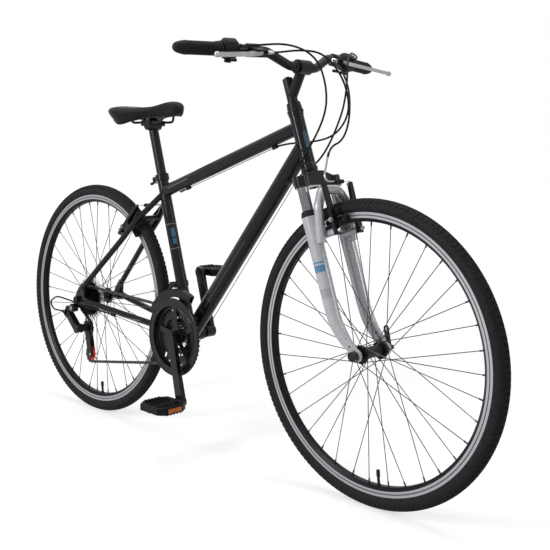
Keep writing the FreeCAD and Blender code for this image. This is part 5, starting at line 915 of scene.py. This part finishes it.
def arm_finish(at, side, pad, front, anchored):
    """The place of the material for a point of an arm: the pipe bright, the pad and boot rubber."""
    out = at.y * side
    inside = out < PAD_SIDE
    if inside and math.hypot(at.x - pad.x, at.z - pad.z) < PAD_REACH:
        return RUBBER_PLACE
    if anchored:
        return 0
    if out < (FRONT_BOOT if front else REAR_BOOT):
        return RUBBER_PLACE
    if front:
        return BRIGHT_PLACE if at.z > FRONT_PIPE else 0
    return BRIGHT_PLACE if at.x > REAR_PIPE or (inside and at.z > REAR_PIPE_LOW) else 0


for node, (body, side, face, outer, anchor) in ARMS.items():
    pivot, axis, lift = arm_frame(node, face)
    out = Y * side
    post = pivot + lift * PAD_LIFT + axis * ARM_MIDDLE
    post.y = side * (outer - SINK)
    heads = [
        bolt(pivot + axis * PIVOT_RISE, axis, *PIVOT_BOLT),
        nut(post + out * PAD_NUT_OUT, out, *PAD_NUT),
        lathe(PAD_WASHER, post, out, 28),
    ]
    if anchor:
        heads.append(seated_bolt(node, on_side(anchor, side), axis, ANCHOR_REACH, ANCHOR_BOLT))
    fitting(node + "_bolts", heads, steel, body)
    mesh = nodes[node].data
    for look in (bright_alloy, rubber):
        mesh.materials.append(look.material)
    pad = pivot + lift * PAD_LIFT - axis * PAD_BACK
    for flat in mesh.polygons:
        flat.material_index = arm_finish(flat.center, side, pad, face == STEER_AHEAD, anchor is not None)
WIRE_RADIUS = 0.0008
# Each: the body, the wire's place along and up, and its start and end across the bike
BRAKE_WIRES = {
    "front_brake_wire": ("front_arm_left", 0.4302, 0.7303, 0.004, 0.052),
    "rear_brake_wire": ("rear_arm_right", -0.2715, 0.6445, -0.004, -0.053),
}
for name, (body, along, up, start, end) in BRAKE_WIRES.items():
    line = [Vector((along, across, up)) for across in (start, (start + end) / 2, end)]
    fitting(name, [tube(line, WIRE_RADIUS, sides=8)], steel, body)

# Brake levers: barrels where the cables start and round tips on the blades
BARREL_ROOT, BARREL_END = Vector((0.3234, 0.1194, 1.0283)), Vector((0.3276, 0.0999, 1.0289))
BARREL = [
    (-0.003, 0.0026), (-0.003, 0.0048), (0.001, 0.0052), (0.008, 0.0052), (0.0095, 0.0042), (0.014, 0.0040),
    (0.014, 0.0026),
]
TIP_RUN, TIP_BACK = 0.006, 0.004
LEVER_TIP = [
    (-0.009, 0.0035), (-0.006, 0.0052), (-0.002, 0.0064), (0.002, 0.0066), (0.005, 0.0058), (0.007, 0.004),
    (0.0078, 0.0008),
]
barrels = []
for side in BOTH_SIDES:
    root = on_side(BARREL_ROOT, side)
    barrels.append(lathe(BARREL, root, on_side(BARREL_END, side) - root, 18))
fitting("lever_barrels", barrels, bright_alloy, "steering", sharp=15.0)
for name, side in (("left", 1), ("right", -1)):
    blade = [vertex.co for vertex in nodes["brake_lever_" + name].data.vertices]
    reach = max(co.y * side for co in blade)
    last = [co for co in blade if co.y * side > reach - TIP_RUN]
    tip = sum(last, Vector()) / len(last)
    tip.y = side * (reach - TIP_BACK)
    ball = lathe(LEVER_TIP, tip, Y * side, 24, closed=False)
    fitting(name + "_lever_tip", [ball], bright_alloy, name + "_lever")

# Seat clamp: a rounded cradle with a plate and a nut on each side
RAIL_MIDDLE, CRADLE_DROP = Vector((-0.2616, 0, 0.88206)), 0.008
CRADLE = [
    (-0.025, 0.004), (-0.025, 0.0105), (-0.0225, 0.0135), (-0.008, 0.0165), (0.008, 0.0165), (0.0225, 0.0135),
    (0.025, 0.0105), (0.025, 0.004),
]
CLAMP_PLATE = [(-0.001, 0.0145), (0.002, 0.0145), (0.0032, 0.0125), (0.0032, 0.002), (-0.001, 0.002)]
CLAMP_REACH, CLAMP_NUT_OUT, CLAMP_NUT = 0.012, 0.003, (0.0078, 0.0055)
clamp = [lathe(CRADLE, RAIL_MIDDLE - Z * CRADLE_DROP, Y, 36)]
for side in BOTH_SIDES:
    out = Y * side
    end = outermost("seatpost", RAIL_MIDDLE, out, CLAMP_REACH)
    clamp += [lathe(CLAMP_PLATE, end, out, 36), nut(end + out * CLAMP_NUT_OUT, out, *CLAMP_NUT)]
fitting("seat_clamp_nuts", clamp, dark_steel, "seat")

# Stem bolt and crank caps
STEM_HEIGHT, STEM_BOLT = 0.66, (0.0068, 0.004)
CAP_REACH, CAP = 0.012, [(-0.001, 0.0105), (0.0012, 0.0105), (0.0022, 0.0085), (0.0022, 0.001)]
stem_bolt = seated_bolt("stem", on_steer(STEM_HEIGHT), STEER_UP, NEAR_AXIS, STEM_BOLT)
fitting("stem_bolt", [stem_bolt], dark_steel, "steering")
caps = []
for node, out in (("crank_right", -Y), ("crank_left", Y)):
    caps.append(lathe(CAP, outermost(node, CRANK_MIDDLE, out, CAP_REACH), out, 32, closed=False))
fitting("crank_caps", caps, resin, "crank")

# Rear changer: pulley bolts, link plates with their bolts, and round shells at the knuckle
PULLEY_BOLT = (0.0045, 0.003)
LINK_TOP, LINK_END = Vector((-0.5780, -0.0885, 0.3095)), Vector((-0.5290, -0.0885, 0.2672))
LINK_RUN, LINK_LENGTH = (LINK_END - LINK_TOP).normalized(), (LINK_END - LINK_TOP).length
PLATE_AHEAD, PLATE_APART = 0.007, 0.0145
OUTER_PLATE, OUTER_BEVEL = (LINK_LENGTH - 0.008, 0.0055, 0.022), 0.0022
INNER_PLATE, INNER_BEVEL = (LINK_LENGTH - 0.012, 0.004, 0.018), 0.0015
LINK_BOLT_AHEAD, LINK_BOLT_OUT, LINK_BOLT = 0.018, 0.0025, (0.0048, 0.0025)
KNUCKLE_SIDE, RING_APART = -0.0895, 0.014
KNUCKLE_SHELL = [(-0.001, 0.0135), (0.002, 0.0135), (0.0035, 0.0115), (0.0035, 0.001)]
KNUCKLE_RING = [(0, 0.0112), (0, 0.0138), (0.004, 0.0138), (0.004, 0.0112)]
heads = [seated_bolt("rear_derailleur_cage", at, -Y, NEAR_AXIS, PULLEY_BOLT) for at in (GUIDE, TENSION)]
fitting("pulley_bolts", heads, steel, "mech_cage")
link_axes = (LINK_RUN, Y, LINK_RUN.cross(Y))
middle = (LINK_TOP + LINK_END) / 2 + LINK_RUN * PLATE_AHEAD
plates = [block(middle, OUTER_PLATE, link_axes, OUTER_BEVEL)]
for at in (LINK_TOP + LINK_RUN * LINK_BOLT_AHEAD, LINK_END):
    plates.append(bolt(at - Y * LINK_BOLT_OUT, -Y, *LINK_BOLT))
plates.append(block(middle + Y * PLATE_APART, INNER_PLATE, link_axes, INNER_BEVEL))
fitting("mech_outer_plate", plates, satin_black, "mech_link")
knuckle = joint_at("chain_tension")
knuckle.y = KNUCKLE_SIDE
shells = [lathe(KNUCKLE_SHELL, knuckle, -Y, 36, closed=False)]
shells.append(lathe(KNUCKLE_RING, knuckle + Y * RING_APART, Y, 36))
fitting("mech_knuckle_shells", shells, satin_black, "mech_knuckle")

# Lips on the chain guard
LIP_RADII = (0.1032, 0.0858)
LIP = ((-0.001, -0.0016), (0.0008, -0.0013), (0.0014, 0), (0.0008, 0.0013), (-0.001, 0.0016))
guard_face = CRANK_MIDDLE + Y * min(vertex.co.y for vertex in nodes["chain_guard"].data.vertices)
lips = [lathe([(along, radius + out) for along, out in LIP], guard_face, -Y, 120) for radius in LIP_RADII]
fitting("guard_lips", lips, gloss_black, "crank")

# Front quick-release lever: a knob, a blade and an open loop at its end
SKEWER_PIVOT, SKEWER_LEAN = joint_at("skewer_lever_turn"), math.radians(8)
KNOB = [
    (-0.005, 0.0016), (-0.005, 0.0044), (-0.0044, 0.005), (0.0044, 0.005), (0.005, 0.0044), (0.005, 0.0016),
]
LOOP_REACH, LOOP_HALF, LOOP_RADIUS, LOOP_LEGS, QUARTER_STEPS = 0.0455, 0.0046, 0.0027, 0.026, 8
BLADE_REACH, BLADE, BLADE_BEVEL = 0.0195, (0.031, 0.008, 0.0118), 0.0025
reach = STEER_UP * math.cos(SKEWER_LEAN) + Y * math.sin(SKEWER_LEAN)
loop = []
for step in range(-QUARTER_STEPS, 3 * QUARTER_STEPS + 1):
    turn = math.pi / 2 * step / QUARTER_STEPS
    arc = min(max(turn, 0.0), math.pi)
    leg = LOOP_LEGS * abs(turn - arc) / (math.pi / 2)
    up = LOOP_REACH - leg + LOOP_HALF * math.sin(arc)
    loop.append(SKEWER_PIVOT + reach * up + STEER_AHEAD * LOOP_HALF * math.cos(arc))
blade_axes = (reach, reach.cross(STEER_AHEAD), STEER_AHEAD)
lever = [
    lathe(KNOB, SKEWER_PIVOT, STEER_AHEAD, 28), tube(loop, LOOP_RADIUS),
    block(SKEWER_PIVOT + reach * BLADE_REACH, BLADE, blade_axes, BLADE_BEVEL),
]
fitting("front_skewer_blade", lever, satin_black, "skewer_lever", ("front_skewer_lever",))

# Hanger: the bolt that holds the rear changer, and the boss round it
HANGER, HANGER_REACH, HANGER_BOLT = Vector((-0.5484, -0.06, 0.3216)), 0.007, (0.0068, 0.003)
BOSS = [(-0.012, 0.0128), (-0.002, 0.0128), (0.0006, 0.0105), (0.0006, 0.0072), (-0.012, 0.0072)]
hanger_bolt = seated_bolt("rear_derailleur_mount", HANGER, -Y, HANGER_REACH, HANGER_BOLT)
fitting("hanger_bolt", [hanger_bolt], steel, "frame")
boss = lathe(BOSS, outermost("rear_derailleur_mount", HANGER, -Y, HANGER_REACH), -Y, 36)
fitting("hanger_boss", [boss], satin_black, "frame")

# Cables on the frame: the rear brake's housing near its arm becomes a piece fixed in place, the rest rides on
# the frame
BEND_REAR, BEND_FRONT, BEND_LOW = -0.26, -0.10, 0.66
runs, bend = [], []
for middle, points, faces in islands("frame_cables"):
    bends = BEND_REAR < middle.x < BEND_FRONT and middle.z > BEND_LOW
    (bend if bends else runs).append((points, faces))
fitting("frame_cable_runs", runs, cable_black, "frame", ("frame_cables",))
housing = fitting("rear_brake_housing", bend, cable_black, None, ("frame_cables",))
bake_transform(housing)

# Camera: where the photograph was taken from
BACK = Vector((0.7014924, -0.71233209, 0.0221678)).normalized()
CAMERA_AT = (1.7634, -1.5676, 0.7931)
TURN, ROLL = math.radians(44.56), math.radians(0.33)
level = Vector((math.cos(TURN), math.sin(TURN), 0))
upright = BACK.cross(level).normalized()
right = level * math.cos(ROLL) + upright * math.sin(ROLL)
above = BACK.cross(right)
camera = bpy.data.objects.new("camera", bpy.data.cameras.new("camera"))
camera.data.sensor_width = 36
camera.data.lens = 57.71
camera.data.shift_x = 0.0053
camera.data.shift_y = -0.184
rows = [(right[way], above[way], BACK[way], CAMERA_AT[way]) for way in range(3)]
camera.matrix_world = Matrix((*rows, (0, 0, 0, 1)))
bpy.context.scene.collection.objects.link(camera)
bpy.context.scene.camera = camera


# Light
def lamp(name, at, target, size, power):
    data = bpy.data.lights.new(name, "AREA")
    data.shape = "RECTANGLE"
    data.size, data.size_y = size
    data.energy = power
    made = bpy.data.objects.new(name, data)
    made.location = at
    made.rotation_euler = (Vector(target) - Vector(at)).to_track_quat("-Z", "Y").to_euler()
    bpy.context.scene.collection.objects.link(made)


lamp("key", (-0.5, -3.3, 2.3), (0.1, 0, 0.5), (0.8, 2.4), 120)
lamp("fill", (3.4, 1.2, 1.9), (0.2, 0, 0.5), (0.5, 2.2), 30)
lamp("top", (-0.2, 0.2, 3.6), (0, 0, 0), (3.0, 1.0), 60)


def shown_rays(tree):
    """One on the rays that carry a surface straight to the picture."""
    rays = tree.nodes.new("ShaderNodeLightPath")
    total = rays.outputs["Is Camera Ray"]
    for other in ("Is Glossy Ray", "Is Transmission Ray"):
        most = tree.nodes.new("ShaderNodeMath")
        most.operation = "MAXIMUM"
        tree.links.new(total, most.inputs[0])
        tree.links.new(rays.outputs[other], most.inputs[1])
        total = most.outputs[0]
    return total


world = bpy.data.worlds.new("studio")
bpy.context.scene.world = world
world.use_nodes = True
tree = world.node_tree
choice = tree.nodes.new("ShaderNodeMixShader")
tree.links.new(shown_rays(tree), choice.inputs["Fac"])
soft = tree.nodes.new("ShaderNodeBackground")
skies = ((soft, (0.97, 0.985, 1.0, 1), 0.25), (tree.nodes["Background"], (1, 1, 1, 1), 1.0))
for place, (sky, colour, strength) in enumerate(skies, 1):
    sky.inputs["Color"].default_value = colour
    sky.inputs["Strength"].default_value = strength
    tree.links.new(sky.outputs[0], choice.inputs[place])
tree.links.new(choice.outputs[0], tree.nodes["World Output"].inputs["Surface"])

# Floor: white paper that keeps the shadow
FLOOR_SIZE, FLOOR_LEVEL = 40, -0.0005
GLOW_NEAR, GLOW_FAR, GLOW_START, GLOW_END = 0.58, 0.92, 1.0, 5.0
bpy.ops.mesh.primitive_plane_add(size=FLOOR_SIZE, location=(0, 0, FLOOR_LEVEL))
floor = bpy.context.object
floor.name = "floor"
floor_look = finish_look("floor_paper", (0.5, 0.5, 0.5), 0.9, tint=0.01, grain=2.0, relief=0.0,
                         Emission_Color=(1, 1, 1, 1), Specular_IOR_Level=0.0)
distance = floor_look.vector("LENGTH", floor_look.place).outputs["Value"]
fade = floor_look.spread(distance, GLOW_NEAR, GLOW_FAR, GLOW_START, GLOW_END)
glow = floor_look.math("MULTIPLY", shown_rays(floor_look.tree), fade)
floor_look.set(floor_look.shader.inputs["Emission Strength"], glow)
floor.data.materials.append(floor_look.material)
bpy.context.scene.view_settings.view_transform = "Standard"
